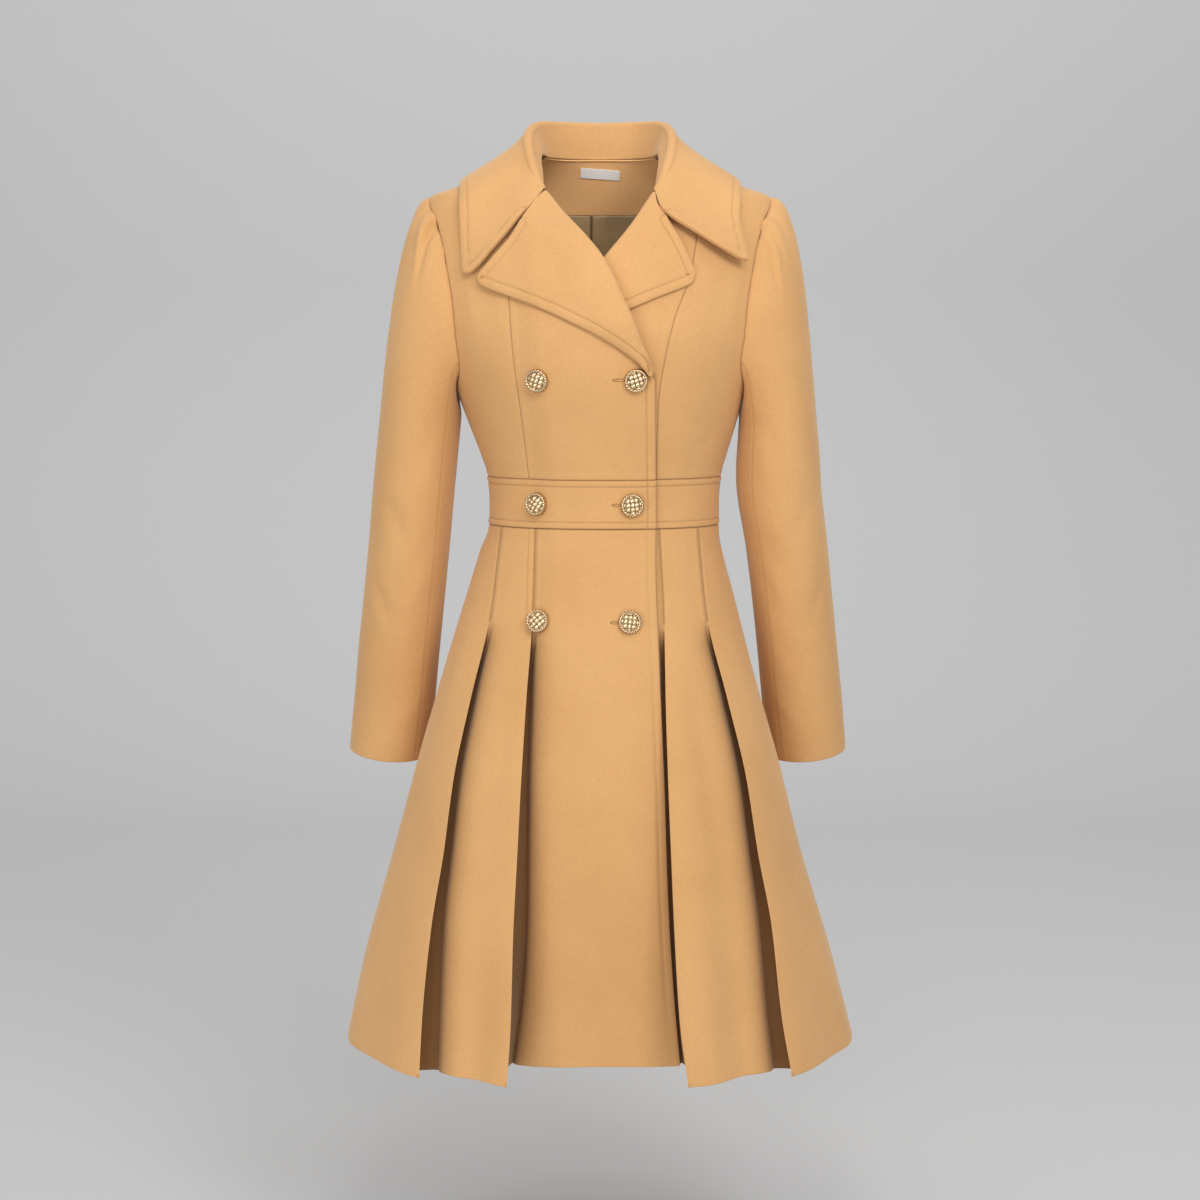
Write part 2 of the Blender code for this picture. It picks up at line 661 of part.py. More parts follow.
def wall_inside(grid, thick, ring=True, centre_line=None):
    """A closed tube's grid moved towards its inside."""
    rows, cols = grid.shape[:2]
    inner = np.zeros_like(grid)
    for i in range(rows):
        middle = grid[i].mean(axis=0)
        for j in range(cols):
            down = grid[min(i + 1, rows - 1), j] - grid[max(i - 1, 0), j]
            round_ = grid[i, (j + 1) % cols] - grid[i, j - 1]
            n = unit(np.cross(down, round_))
            if np.dot(n, grid[i, j] - middle) < 0:
                n = -n
            inner[i, j] = grid[i, j] - n * thick
    return inner


def sleeves(camel):
    under = [6, 7, 8, 9, 10]
    upper = [10, 11, 12, 13, 14, 15, 0, 1, 2, 3, 4, 5, 6]
    for side, word in ((1.0, "left"), (-1.0, "right")):
        flip = np.array([side, 1.0, 1.0])
        outer = sleeve_grid(SLEEVE_LEFT, 0.0) if side > 0 else sleeve_grid(SLEEVE_RIGHT, 0.008)
        inner = wall_inside(outer, CLOTH)
        for key, picks in (("under", under), ("upper", upper)):
            o, n = outer[:, picks] * flip, inner[:, picks] * flip
            o, n = o.copy(), n.copy()
            for i in range(o.shape[0]):
                for e, nxt in ((0, 1), (-1, -2)):
                    along = unit(o[i, nxt] - o[i, e]) * SEAM / 2
                    o[i, e] += along
                    n[i, e] += along
            solid("sleeve_%s_%s" % (word, key), o, n, camel)


# -------------------------------------------------------- collar and lapels
def fold_profile(start, bend, end, lift, height, edge_gap, columns, radius):
    """The middle of a turned-back piece: from the roll, over it and out to its edge.

    start, bend and end are (x, z) on the front; bend is the point that the line passes.
    Returns triples (x, z, out).
    """
    start, bend, end = (np.array(p, float) for p in (start, bend, end))
    length = np.linalg.norm(end - start)
    away = unit((bend if bend is not None else end) - start)
    turn = []
    for k in range(5):
        a = math.pi * k / 4
        turn.append((-math.sin(a) * radius, radius * (1 - math.cos(a))))
    result = []
    root = start + away * (radius + CLOTH / 2)
    for e, rise in turn:
        p = root + away * (e - (SEAM if rise < radius else 0.0))
        result.append((p[0], p[1], lift(*root) + CLOTH / 2 + rise))
    knee = 2 * (bend - 0.25 * start - 0.25 * end)
    for k in range(1, columns + 1):
        s = k / columns
        p = (1 - s) ** 2 * root + 2 * s * (1 - s) * knee + s * s * end
        first = 2 * radius - CLOTH
        high = first + (edge_gap - first) * s ** 0.8 + height * math.sin(math.pi * s)
        result.append((p[0], p[1], lift(*p) + CLOTH + high + CLOTH / 2))
    return result


def profile_walls(profile):
    """Outer and inner points of a turned-back piece's row, half a cloth each side."""
    # distance along the line on the body, against the height over it
    flat, total = [], 0.0
    previous = None
    start = np.array(profile[0][:2])
    direction = unit(np.array(profile[-1][:2]) - start)
    for x, z, out in profile:
        flat.append(np.array([float(np.dot(np.array([x, z]) - start, direction)), out]))
    rows_o, rows_i = [], []
    for i, p in enumerate(flat):
        before = unit(flat[i] - flat[i - 1]) if i else None
        after = unit(flat[i + 1] - flat[i]) if i < len(flat) - 1 else None
        before = after if before is None else before
        after = before if after is None else after
        n1, n2 = np.array([before[1], -before[0]]), np.array([after[1], -after[0]])
        n = unit(n1 + n2)
        n = n / max(float(np.dot(n, n1)), 0.6) * CLOTH / 2
        x, z, out = profile[i]
        dx, dz = direction * n[0]
        rows_o.append(on_front(x - dx, z - dz, out - n[1]))
        rows_i.append(on_front(x + dx, z + dz, out + n[1]))
    return rows_o, rows_i


def lapel_rows(side, rows, columns):
    """Rows of a lapel, from the gorge down to the break."""
    outer_table = LAPEL_OUTER_RIGHT if side < 0 else LAPEL_OUTER_LEFT
    roll = ROLL if side < 0 else ROLL_UNDER
    notch = np.array(GORGE_NOTCH if side < 0 else NOTCH_LEFT)
    z_top, z_end = roll[0][0], (-0.1960 if side < 0 else -0.1060)
    line = roll_line if side < 0 else roll_under
    span = [0.0]
    for a, b in zip(outer_table, outer_table[1:]):
        span.append(span[-1] + math.dist(a, b))
    ex = Smooth([s / span[-1] for s in span], [p[0] for p in outer_table])
    ez = Smooth([s / span[-1] for s in span], [p[1] for p in outer_table])
    lift = lift_right if side < 0 else (lambda x, z: 0.0)
    result = []
    for i in range(rows + 1):
        s = i / rows
        z = z_top + (z_end - z_top) * s ** 1.05
        start = np.array([line(z), z])
        end = np.array([ex(s ** 1.15), ez(s ** 1.15)])
        middle = (start + end) / 2
        if side < 0:
            bend = middle + (notch - (0.58 * start + 0.42 * end)) * (1 - s) ** 3
            height = 0.0035 * (1 - 0.8 * s)
        else:
            bend = middle + (notch - (0.5 * start + 0.5 * end)) * 0.8 * (1 - s) ** 2
            height = 0.0012 * (1 - s)
        gap = 0.0016 if side < 0 else 0.0011
        result.append(fold_profile(start, bend, end, lift, height, gap, columns, ROLL_R if side < 0 else UNDER_R))
    return result


def lapels(camel):
    for side, word in ((-1, "right"), (1, "left")):
        outer, inner = [], []
        for profile in lapel_rows(side, 8, 5):
            o, n = profile_walls(profile)
            outer.append(o)
            inner.append(n)
        solid("lapel_" + word, outer, inner, camel)


def catmull(points, count):
    """A smooth line through points, with count steps between neighbours."""
    points = [np.asarray(p, float) for p in points]
    ext = [2 * points[0] - points[1]] + points + [2 * points[-1] - points[-2]]
    line = []
    for i in range(1, len(ext) - 2):
        p0, p1, p2, p3 = ext[i - 1:i + 3]
        for k in range(count):
            t = k / count
            line.append(0.5 * (2 * p1 + (p2 - p0) * t + (2 * p0 - 5 * p1 + 4 * p2 - p3) * t * t
                               + (3 * p1 - p0 - 3 * p2 + p3) * t ** 3))
    line.append(points[-1])
    return line


COLLAR_COLUMNS = 4


def neck_point(deg, z):
    """The middle of the stand's lower edge, just inside the neck's edge."""
    if deg:
        along = base(deg + 0.5, z) - base(deg - 0.5, z)
    else:
        deg = deg_at(neckline(z), z)
        lo, hi = z - 0.001, z + 0.001
        along = base(deg_at(neckline(hi), hi), hi) - base(deg_at(neckline(lo), lo), lo)
    n = normal(deg, z)
    into = unit(np.cross(n, along))
    if np.dot(into, np.array([0.0, 0.01, 0.06]) - base(deg, z)) < 0:
        into = -into
    return skin(deg, z, CLOTH / 2) + into * 0.0038


def collar_station(row, mirror):
    """Middle points of the collar at one station: stand, roll and fall."""
    ndeg, nz, rx, ry, rz, deg, ez, out = row
    neck, roll = neck_point(ndeg, nz), np.array([rx, ry, rz])
    away = unit(np.array([rx, ry, 0.0]) + np.array([1e-9, 0, 0]))
    r = 0.0040
    stand_top = roll - np.array([0, 0, r])
    crest = roll + away * r
    fall_top = roll + away * 2 * r - np.array([0, 0, r])
    edge = skin(deg, ez, out + CLOTH / 2)
    n = normal(deg, ez)
    down = unit(edge - fall_top)
    length = np.linalg.norm(edge - fall_top)
    c1 = fall_top + unit(away * 0.35 + np.array([0, 0, -1.0])) * length * 0.25 + n * 0.004
    c2 = edge - unit(down - n * 0.5 * float(np.dot(down, n))) * length * 0.3 + n * 0.004
    points = [neck, (neck + stand_top) / 2, stand_top,
              roll + away * r * 0.29 - np.array([0, 0, r * 0.29]), crest,
              roll + away * r * 1.71 - np.array([0, 0, r * 0.29]), fall_top]
    for k in range(1, COLLAR_COLUMNS + 1):
        s = k / COLLAR_COLUMNS
        points.append((1 - s) ** 3 * fall_top + 3 * s * (1 - s) ** 2 * c1 + 3 * s * s * (1 - s) * c2 + s ** 3 * edge)
    return [p * np.array([mirror, 1, 1]) for p in points]


def collar(camel):
    def front_end(side):
        roll = ROLL if side < 0 else ROLL_UNDER
        start = np.array([roll[0][1], roll[0][0]])
        tip = np.array(COLLAR_TIP_RIGHT if side < 0 else COLLAR_TIP_LEFT)
        notch = np.array(GORGE_NOTCH if side < 0 else NOTCH_LEFT)
        shift = np.array([0.0002 * side, 0.0014])
        middle = (start + tip) / 2
        bend = middle + (notch - (0.6 * start + 0.4 * tip)) * 0.8
        profile = fold_profile(start + shift, bend + shift, tip + shift,
                               lift_right if side < 0 else (lambda x, z: 0.0), 0.0030, 0.0030, COLLAR_COLUMNS + 2,
                               ROLL_R if side < 0 else UNDER_R)
        return [on_front(x, z, out) for x, z, out in profile]

    stations = []
    right_end, left_end = front_end(-1), front_end(1)
    mirrored = [collar_station(row, -1.0) for row in COLLAR[:0:-1]]
    ordinary = [collar_station(row, 1.0) for row in COLLAR]
    stations = [right_end] + mirrored + ordinary + [left_end]
    key_lines = [catmull([st[k] for st in stations], 2) for k in range(len(stations[0]))]
    middle = np.array(key_lines).transpose(1, 0, 2)
    rows, cols = middle.shape[:2]
    outer, inner = np.zeros_like(middle), np.zeros_like(middle)
    for i in range(rows):
        for j in range(cols):
            along = middle[min(i + 1, rows - 1), j] - middle[max(i - 1, 0), j]
            a = unit(middle[i, j] - middle[i, j - 1]) if j else unit(middle[i, 1] - middle[i, 0])
            b = unit(middle[i, j + 1] - middle[i, j]) if j < cols - 1 else a
            n1, n2 = unit(np.cross(along, a)), unit(np.cross(along, b))
            n = unit(n1 + n2)
            n = n / max(float(np.dot(n, n1)), 0.7) * CLOTH / 2
            outer[i, j], inner[i, j] = middle[i, j] + n, middle[i, j] - n
    solid("collar", outer, inner, camel)


# ------------------------------------------------------------------ buttons
def cloth_lift(x, z):
    """How far the right front's cloth stands off the body, bodice or skirt."""
    if z > WAIST_BOTTOM:
        return lift_right(x, z)
    return OVERLAP * step((x - column(FOLDS_RIGHT, 0, 7)(z) + 0.008) / RAMP)


def buttons(brass):
    profile = ((0.0, 0.000), (0.70, 0.000), (0.94, 0.10), (1.0, 0.30), (0.95, 0.50), (0.84, 0.56),
               (0.62, 0.82), (0.32, 0.97))
    steps = 16
    for name, x, z in BUTTONS:
        deg = deg_at(x, z)
        lift = cloth_lift(x, z)
        extra = 0.0006 if WAIST_BOTTOM < z < WAIST_TOP else 0.0
        n = normal(deg, z)
        across = unit(base(deg + 1, z) - base(deg - 1, z))
        up = np.cross(n, across)
        # the flat back clears the highest cloth under it
        foot = base(deg, z)
        high = 0.0
        for k in range(12):
            px = x + BUTTON_R * math.cos(math.pi * k / 6)
            pz = z + BUTTON_R * math.sin(math.pi * k / 6)
            high = max(high, float(np.dot(on_front(px, pz, cloth_lift(px, pz) + CLOTH + extra) - foot, n)))
        centre = foot + n * (max(high, lift + CLOTH + extra) + 0.0005)
        points, faces = [], []
        points.append(centre)
        for r, h in profile[1:]:
            for k in range(steps):
                a = 2 * math.pi * k / steps
                points.append(centre + (across * math.cos(a) + up * math.sin(a)) * r * BUTTON_R + n * h * BUTTON_H)
        points.append(centre + n * BUTTON_H)
        rings = len(profile) - 1
        for k in range(steps):
            q = (k + 1) % steps
            faces.append((0, 1 + q, 1 + k))
            for i in range(rings - 1):
                a, b = 1 + i * steps + k, 1 + i * steps + q
                faces.append((a, b, b + steps, a + steps))
            a, b = 1 + (rings - 1) * steps + k, 1 + (rings - 1) * steps + q
            faces.append((a, b, len(points) - 1))
        mesh = bpy.data.meshes.new(name)
        mesh.from_pydata([tuple(p) for p in points], [], faces)
        mesh.materials.append(brass)
        mesh.shade_smooth()
        mesh.set_sharp_from_angle(angle=math.radians(40))
        bpy.context.scene.collection.objects.link(bpy.data.objects.new(name, mesh))


def main():
    for obj in list(bpy.data.objects):
        bpy.data.objects.remove(obj, do_unlink=True)
    camel = material("camel_wool", CAMEL, 0.9)
    satin = material("lining_satin", SATIN_TAN, 0.4)
    white = material("label_tape", (0.85, 0.84, 0.80), 0.7)
    brass = material("gilt_button", (0.80, 0.58, 0.28), 0.3, 1.0)
    front_panels(camel)
    back_panels(camel, satin, white)
    waistband(camel)
    skirt_front(-1, camel)
    skirt_front(1, camel)
    skirt_back(camel)
    sleeves(camel)
    lapels(camel)
    collar(camel)
    buttons(brass)


main()
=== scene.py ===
"""Looks of the long double-breasted swing coat: felted camel wool, filled out and hollow.

Metres, +Z up, front towards -Y, +X is the wearer's left.  Each cloth piece is a
fine shell on its solid's form, with its seams, topstitching, folds and creases.
"""
import json
import math

import bpy
import numpy as np
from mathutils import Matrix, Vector, kdtree

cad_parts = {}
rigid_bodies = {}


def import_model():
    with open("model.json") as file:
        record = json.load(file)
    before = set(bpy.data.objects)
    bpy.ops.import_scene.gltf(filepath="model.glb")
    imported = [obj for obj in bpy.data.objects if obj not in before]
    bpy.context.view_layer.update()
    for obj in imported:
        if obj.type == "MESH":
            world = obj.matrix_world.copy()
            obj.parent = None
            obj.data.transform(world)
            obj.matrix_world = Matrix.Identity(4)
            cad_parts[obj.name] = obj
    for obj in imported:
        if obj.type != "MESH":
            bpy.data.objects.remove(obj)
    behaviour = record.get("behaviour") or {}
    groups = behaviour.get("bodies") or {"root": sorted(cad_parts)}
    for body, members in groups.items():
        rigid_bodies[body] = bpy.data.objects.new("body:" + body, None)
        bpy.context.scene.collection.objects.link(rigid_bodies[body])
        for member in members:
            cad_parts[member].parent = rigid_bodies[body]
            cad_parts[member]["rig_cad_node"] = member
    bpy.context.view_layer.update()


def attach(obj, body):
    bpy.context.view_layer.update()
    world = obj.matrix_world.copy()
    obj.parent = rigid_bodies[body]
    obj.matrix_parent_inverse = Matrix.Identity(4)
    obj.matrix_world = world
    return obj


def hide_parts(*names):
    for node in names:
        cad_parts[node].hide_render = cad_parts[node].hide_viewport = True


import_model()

# ---------------------------------------------------------------- dimensions
CLOTH = 0.0026
SEAM = 0.0004
OVERLAP = 0.0048
RAMP = 0.030
HEM_Z = -0.899
WAIST_TOP = -0.3127
WAIST_BOTTOM = -0.3633
PLEAT_TOP = -0.455
NECK_Z = 0.020
ROLL_R = 0.0036
UNDER_R = 0.0021
BUTTON_R = 0.0118
BUTTON_H = 0.0062
STITCH = 0.0080         # topstitching, in from a finished edge
BAND_STITCH = 0.0066    # the same, in from the waistband's seams

SECTIONS = (
    # z,      half_width, front, back, widest_y, shift_x
    ( 0.0200, 0.064, 0.012, 0.071,  0.000, 0.000),
    ( 0.0120, 0.080, 0.022, 0.074,  0.000, 0.000),
    ( 0.0040, 0.098, 0.033, 0.077,  0.000, 0.000),
    (-0.0050, 0.120, 0.042, 0.080,  0.000, 0.000),
    (-0.0145, 0.144, 0.050, 0.083,  0.000, 0.000),
    (-0.0255, 0.174, 0.058, 0.086,  0.000, 0.000),
    (-0.0450, 0.180, 0.075, 0.091,  0.000, 0.000),
    (-0.0700, 0.182, 0.092, 0.096,  0.000, 0.000),
    (-0.1000, 0.181, 0.106, 0.100,  0.000, 0.000),
    (-0.1350, 0.178, 0.117, 0.101,  0.000, 0.000),
    (-0.1700, 0.171, 0.123, 0.099,  0.000, 0.000),
    (-0.1950, 0.161, 0.122, 0.096,  0.000, 0.000),
    (-0.2225, 0.1495, 0.118, 0.093, 0.000, 0.001),
    (-0.2650, 0.1350, 0.107, 0.087, 0.000, 0.003),
    (-0.2900, 0.1265, 0.101, 0.084, 0.000, 0.004),
    (-0.3130, 0.1198, 0.097, 0.083, 0.000, 0.0045),
    (-0.3400, 0.1176, 0.096, 0.084, 0.000, 0.0045),
    (-0.3660, 0.1184, 0.098, 0.087, 0.000, 0.004),
    (-0.3940, 0.1255, 0.103, 0.094, -0.004, 0.001),
    (-0.4410, 0.1389, 0.111, 0.107, -0.011, 0.000),
    (-0.4770, 0.1490, 0.117, 0.118, -0.017, -0.001),
    (-0.5320, 0.1645, 0.125, 0.131, -0.024, -0.002),
    (-0.6000, 0.1842, 0.134, 0.145, -0.031, -0.002),
    (-0.7100, 0.2131, 0.147, 0.163, -0.040, -0.003),
    (-0.8090, 0.2420, 0.157, 0.178, -0.046, -0.002),
    (-0.8990, 0.2637, 0.165, 0.190, -0.050, 0.000),
)

ARMHOLE = (
    # z,      front_deg, back_deg, around_deg
    (-0.0255, 90.0,  90.0,   0.0),
    (-0.0450, 70.0, 104.0,  22.5),
    (-0.0700, 62.0, 111.0,  45.0),
    (-0.1000, 58.5, 116.0,  67.5),
    (-0.1350, 56.5, 118.0,  90.0),
    (-0.1700, 58.0, 117.0, 112.5),
    (-0.1950, 62.0, 113.0, 135.0),
    (-0.2125, 71.0, 105.0, 157.5),
    (-0.2225, 90.0,  90.0, 180.0),
)

PRINCESS_RIGHT = ((0.0045, -0.0965), (-0.0145, -0.0945), (-0.045, -0.0930), (-0.080, -0.0918),
                  (-0.1288, -0.0904), (-0.1844, -0.0864), (-0.2383, -0.0794), (-0.3127, -0.0713))
PRINCESS_LEFT = ((0.0045, 0.0965), (-0.0145, 0.1010), (-0.045, 0.1000), (-0.090, 0.0935),
                 (-0.1209, 0.0854), (-0.1508, 0.0742), (-0.1964, 0.0633), (-0.2382, 0.0575), (-0.3127, 0.0560))
FRONT_EDGE = ((-0.2150, 0.0520), (-0.3127, 0.0531), (-0.3940, 0.0533), (-0.5138, 0.0581), (-0.6134, 0.0627),
              (-0.7353, 0.0670), (-0.8176, 0.0720), (-0.8990, 0.0791))
NECKLINE = ((0.0200, 0.0630), (0.0120, 0.0655), (0.0040, 0.0650), (-0.0050, 0.0630), (-0.0145, 0.0595),
            (-0.0255, 0.0530))
ROLL = ((-0.0235, -0.0545), (-0.0600, -0.0265), (-0.0966, 0.0035), (-0.1377, 0.0236), (-0.1700, 0.0375),
        (-0.1987, 0.0492), (-0.2150, 0.0520))
ROLL_UNDER = ((-0.0235, 0.0545), (-0.0600, 0.0300), (-0.0924, 0.0035), (-0.1150, -0.0150), (-0.1377, -0.0330),
              (-0.1700, -0.0480))

FOLDS_RIGHT = (
    # z,     fold_1, out_1,  valley_1, out_v1, fold_2, out_2, valley_2
    (-0.3633, -0.1004, 0.000, -0.0960, 0.000, -0.0650, 0.000, -0.0600),
    (-0.4550, -0.1112, 0.000, -0.1065, 0.000, -0.0676, 0.000, -0.0625),
    (-0.5350, -0.1296, 0.011, -0.1235, 0.006, -0.0731, 0.012, -0.0665),
    (-0.6120, -0.1460, 0.024, -0.1384, 0.014, -0.0777, 0.025, -0.0701),
    (-0.6900, -0.1562, 0.034, -0.1475, 0.021, -0.0815, 0.037, -0.0712),
    (-0.7550, -0.1668, 0.045, -0.1544, 0.027, -0.0846, 0.048, -0.0722),
    (-0.8450, -0.1752, 0.059, -0.1580, 0.036, -0.0868, 0.062, -0.0785),
    (-0.8990, -0.1775, 0.068, -0.1595, 0.042, -0.0903, 0.072, -0.0860),
)
FOLDS_LEFT = (
    # z,     fold_1, out_1,  valley_1, out_v1, fold_2, out_2, valley_2
    (-0.3633, 0.0993, 0.000, 0.0950, 0.000, 0.0590, 0.000, 0.0550),
    (-0.4550, 0.1082, 0.000, 0.1035, 0.000, 0.0640, 0.000, 0.0585),
    (-0.5350, 0.1276, 0.011, 0.1215, 0.006, 0.0650, 0.012, 0.0606),
    (-0.6120, 0.1460, 0.024, 0.1384, 0.014, 0.0670, 0.025, 0.0640),
    (-0.6900, 0.1580, 0.035, 0.1490, 0.021, 0.0698, 0.037, 0.0670),
    (-0.7550, 0.1700, 0.045, 0.1575, 0.027, 0.0724, 0.048, 0.0697),
    (-0.8450, 0.1795, 0.059, 0.1655, 0.036, 0.0778, 0.062, 0.0752),
    (-0.8990, 0.1888, 0.068, 0.1715, 0.042, 0.0854, 0.072, 0.0806),
)

SLEEVE_RIGHT = (
    # centre_x (mirrored), centre_y, centre_z, half_width, half_depth
    (0.1885, 0.001, -0.2500, 0.0425, 0.0610),
    (0.1958, 0.007, -0.3150, 0.0430, 0.0590),
    (0.2031, 0.0165, -0.3850, 0.0430, 0.0563),
    (0.2106, 0.026, -0.4500, 0.0432, 0.0535),
    (0.2167, 0.034, -0.5000, 0.0436, 0.0510),
    (0.2226, 0.042, -0.5550, 0.0436, 0.0485),
    (0.2300, 0.050, -0.6130, 0.0430, 0.0460),
)
SLEEVE_LEFT = (
    # centre_x, centre_y, centre_z, half_width, half_depth
    (0.1868, 0.001, -0.2500, 0.0405, 0.0610),
    (0.1886, 0.007, -0.3150, 0.0446, 0.0590),
    (0.1985, 0.0165, -0.3850, 0.0433, 0.0563),
    (0.2068, 0.026, -0.4500, 0.0427, 0.0535),
    (0.2127, 0.034, -0.5000, 0.0428, 0.0510),
    (0.2190, 0.042, -0.5550, 0.0432, 0.0485),
    (0.2255, 0.050, -0.6130, 0.0426, 0.0460),
)
SLEEVE_AXIS = (0.105, 0.131, -0.986)

COLLAR = (
    # neck: deg, z,  roll x, y, z,               edge: deg, z on the body, out
    (180.0, 0.0200,  0.0000,  0.0750,  0.0600, 180.0, -0.0060, 0.0055),
    (150.0, 0.0200,  0.0370,  0.0660,  0.0600, 155.0, -0.0060, 0.0055),
    (118.0, 0.0200,  0.0610,  0.0380,  0.0570, 122.0, -0.0110, 0.0055),
    ( 90.0, 0.0200,  0.0700,  0.0080,  0.0455,  90.0, -0.0125, 0.0060),
    (  0.0, 0.0110,  0.0690, -0.0190,  0.0250,  52.4, -0.0300, 0.0065),
    (  0.0, -0.0040, 0.0635, -0.0390,  0.0045,  49.4, -0.0560, 0.0070),
)

# outlines on the front, as x and z
COLLAR_END_RIGHT = ((-0.0642, -0.0379), (-0.0785, -0.0553), (-0.0940, -0.0745), (-0.1060, -0.0880),
                    (-0.1180, -0.1015), (-0.1318, -0.1125))
COLLAR_END_LEFT = ((0.0600, -0.0440), (0.0725, -0.0580), (0.0929, -0.0715), (0.1124, -0.0838),
                   (0.1300, -0.0935), (0.1395, -0.0965))
LAPEL_TOP_RIGHT = ((-0.0642, -0.0379), (-0.0722, -0.0505), (-0.0806, -0.0645), (-0.0885, -0.0764),
                   (-0.1020, -0.0919), (-0.1127, -0.1036), (-0.1222, -0.1145))
LAPEL_OUTER_RIGHT = ((-0.1222, -0.1145), (-0.1042, -0.1233), (-0.0875, -0.1295), (-0.0669, -0.1380),
                     (-0.0447, -0.1479), (-0.0239, -0.1577), (-0.0061, -0.1660), (0.0088, -0.1742),
                     (0.0219, -0.1830), (0.0340, -0.1930), (0.0430, -0.2030))
LAPEL_TOP_LEFT = ((0.0575, -0.0400), (0.0640, -0.0490), (0.0686, -0.0583), (0.0771, -0.0729),
                  (0.0850, -0.0890), (0.0905, -0.1010), (0.0950, -0.1130))
LAPEL_OUTER_LEFT = ((0.0950, -0.1130), (0.0851, -0.1188), (0.0674, -0.1259), (0.0478, -0.1338), (0.0246, -0.1439),
                    (0.0110, -0.1490))

BUTTONS = (
    # name,                x,       z
    ("button_1_inner", -0.0602, -0.2112),
    ("button_1_outer",  0.0342, -0.2112),
    ("button_2_inner", -0.0612, -0.3380),
    ("button_2_outer",  0.0306, -0.3380),
    ("button_3_inner", -0.0608, -0.4565),
    ("button_3_outer",  0.0287, -0.4565),
)


# ------------------------------------------------------------------ functions
class Smooth:
    """A smooth curve without overshoot through a table's two columns."""

    def __init__(self, xs, ys):
        order = np.argsort(xs)
        self.x = np.asarray(xs, float)[order]
        self.y = np.asarray(ys, float)[order]
        h = np.diff(self.x)
        d = np.diff(self.y) / h
        m = np.zeros(len(self.x))
        m[0], m[-1] = d[0], d[-1]
        for i in range(1, len(m) - 1):
            if d[i - 1] * d[i] > 0:
                w1, w2 = 2 * h[i] + h[i - 1], h[i] + 2 * h[i - 1]
                m[i] = (w1 + w2) / (w1 / d[i - 1] + w2 / d[i])
        self.m = m

    def __call__(self, q):
        q = np.clip(np.asarray(q, float), self.x[0], self.x[-1])
        i = np.clip(np.searchsorted(self.x, q) - 1, 0, len(self.x) - 2)
        h = self.x[i + 1] - self.x[i]
        t = (q - self.x[i]) / h
        return ((1 + 2 * t) * (1 - t) ** 2 * self.y[i] + t * (1 - t) ** 2 * h * self.m[i]
                + t * t * (3 - 2 * t) * self.y[i + 1] + t * t * (t - 1) * h * self.m[i + 1])


def column(table, key, value):
    return Smooth([row[key] for row in table], [row[value] for row in table])


half_width = column(SECTIONS, 0, 1)
front_y = column(SECTIONS, 0, 2)
back_y = column(SECTIONS, 0, 3)
widest_y = column(SECTIONS, 0, 4)
shift_x = column(SECTIONS, 0, 5)
arm_front = column(ARMHOLE, 0, 1)
arm_back = column(ARMHOLE, 0, 2)
princess_right = column(PRINCESS_RIGHT, 0, 1)
princess_left = column(PRINCESS_LEFT, 0, 1)
front_edge = column(FRONT_EDGE, 0, 1)
neckline = column(NECKLINE, 0, 1)
roll_line = column(ROLL, 0, 1)
roll_under = column(ROLL_UNDER, 0, 1)


def step(q):
    q = np.clip(q, 0.0, 1.0)
    return q * q * (3 - 2 * q)


def unit(v):
    v = np.asarray(v, float)
    return v / np.maximum(np.linalg.norm(v, axis=-1, keepdims=True), 1e-12)


def base(deg, z):
    """Points of the body: 0 degrees is the centre front, 90 the wearer's left."""
    deg, z = np.broadcast_arrays(np.asarray(deg, float), np.asarray(z, float))
    t = np.radians(deg)
    s, c = np.sin(t), np.cos(t)
    y0 = widest_y(z)
    y = np.where(c > 0, y0 - (front_y(z) + y0) * c, y0 - (back_y(z) - y0) * c)
    return np.stack([shift_x(z) + half_width(z) * s, y, z], -1)


def normal(deg, z):
    deg, z = np.broadcast_arrays(np.asarray(deg, float), np.asarray(z, float))
    across = base(deg + 0.5, z) - base(deg - 0.5, z)
    up = base(deg, np.minimum(z + 0.001, NECK_Z)) - base(deg, z - 0.001)
    return unit(np.cross(across, up))


def skin(deg, z, out):
    return base(deg, z) + normal(deg, z) * np.asarray(out, float)[..., None]


def deg_at(x, z):
    q = (np.asarray(x, float) - shift_x(z)) / half_width(z)
    return np.degrees(np.arcsin(np.clip(q, -1.0, 1.0)))


def on_front(x, z, out):
    return skin(deg_at(x, z), z, out)


def x_of(deg, z):
    return shift_x(z) + half_width(z) * np.sin(np.radians(deg))


def lift_right(x, z):
    """How far the right front stands off the body, over the left front and its lapel."""
    x, z = np.broadcast_arrays(np.asarray(x, float), np.asarray(z, float))
    edge = np.where(z > WAIST_TOP, princess_right(z), -0.0713)
    rise = OVERLAP * step((x - edge - 0.002) / RAMP) * step((-0.045 - z) / 0.035)
    under = step((z + 0.185) / 0.03) * step((-0.045 - z) / 0.03)
    close = step((x - roll_line(z) + 0.055) / 0.03)
    return rise + 0.0036 * under * close


def no_lift(x, z):
    return np.zeros(np.broadcast(np.asarray(x), np.asarray(z)).shape)


def catmull_line(points, count):
    """A smooth line through points, count steps between neighbours."""
    pts = np.asarray(points, float)
    ext = np.concatenate([[2 * pts[0] - pts[1]], pts, [2 * pts[-1] - pts[-2]]])
    t = (np.arange(count) / count).reshape((-1,) + (1,) * (pts.ndim - 1))
    parts = []
    for i in range(1, len(ext) - 2):
        p0, p1, p2, p3 = ext[i - 1], ext[i], ext[i + 1], ext[i + 2]
        parts.append(0.5 * (2 * p1 + (p2 - p0) * t + (2 * p0 - 5 * p1 + 4 * p2 - p3) * t * t
                            + (3 * p1 - p0 - 3 * p2 + p3) * t ** 3))
    parts.append(pts[-1][None])
    return np.concatenate(parts)


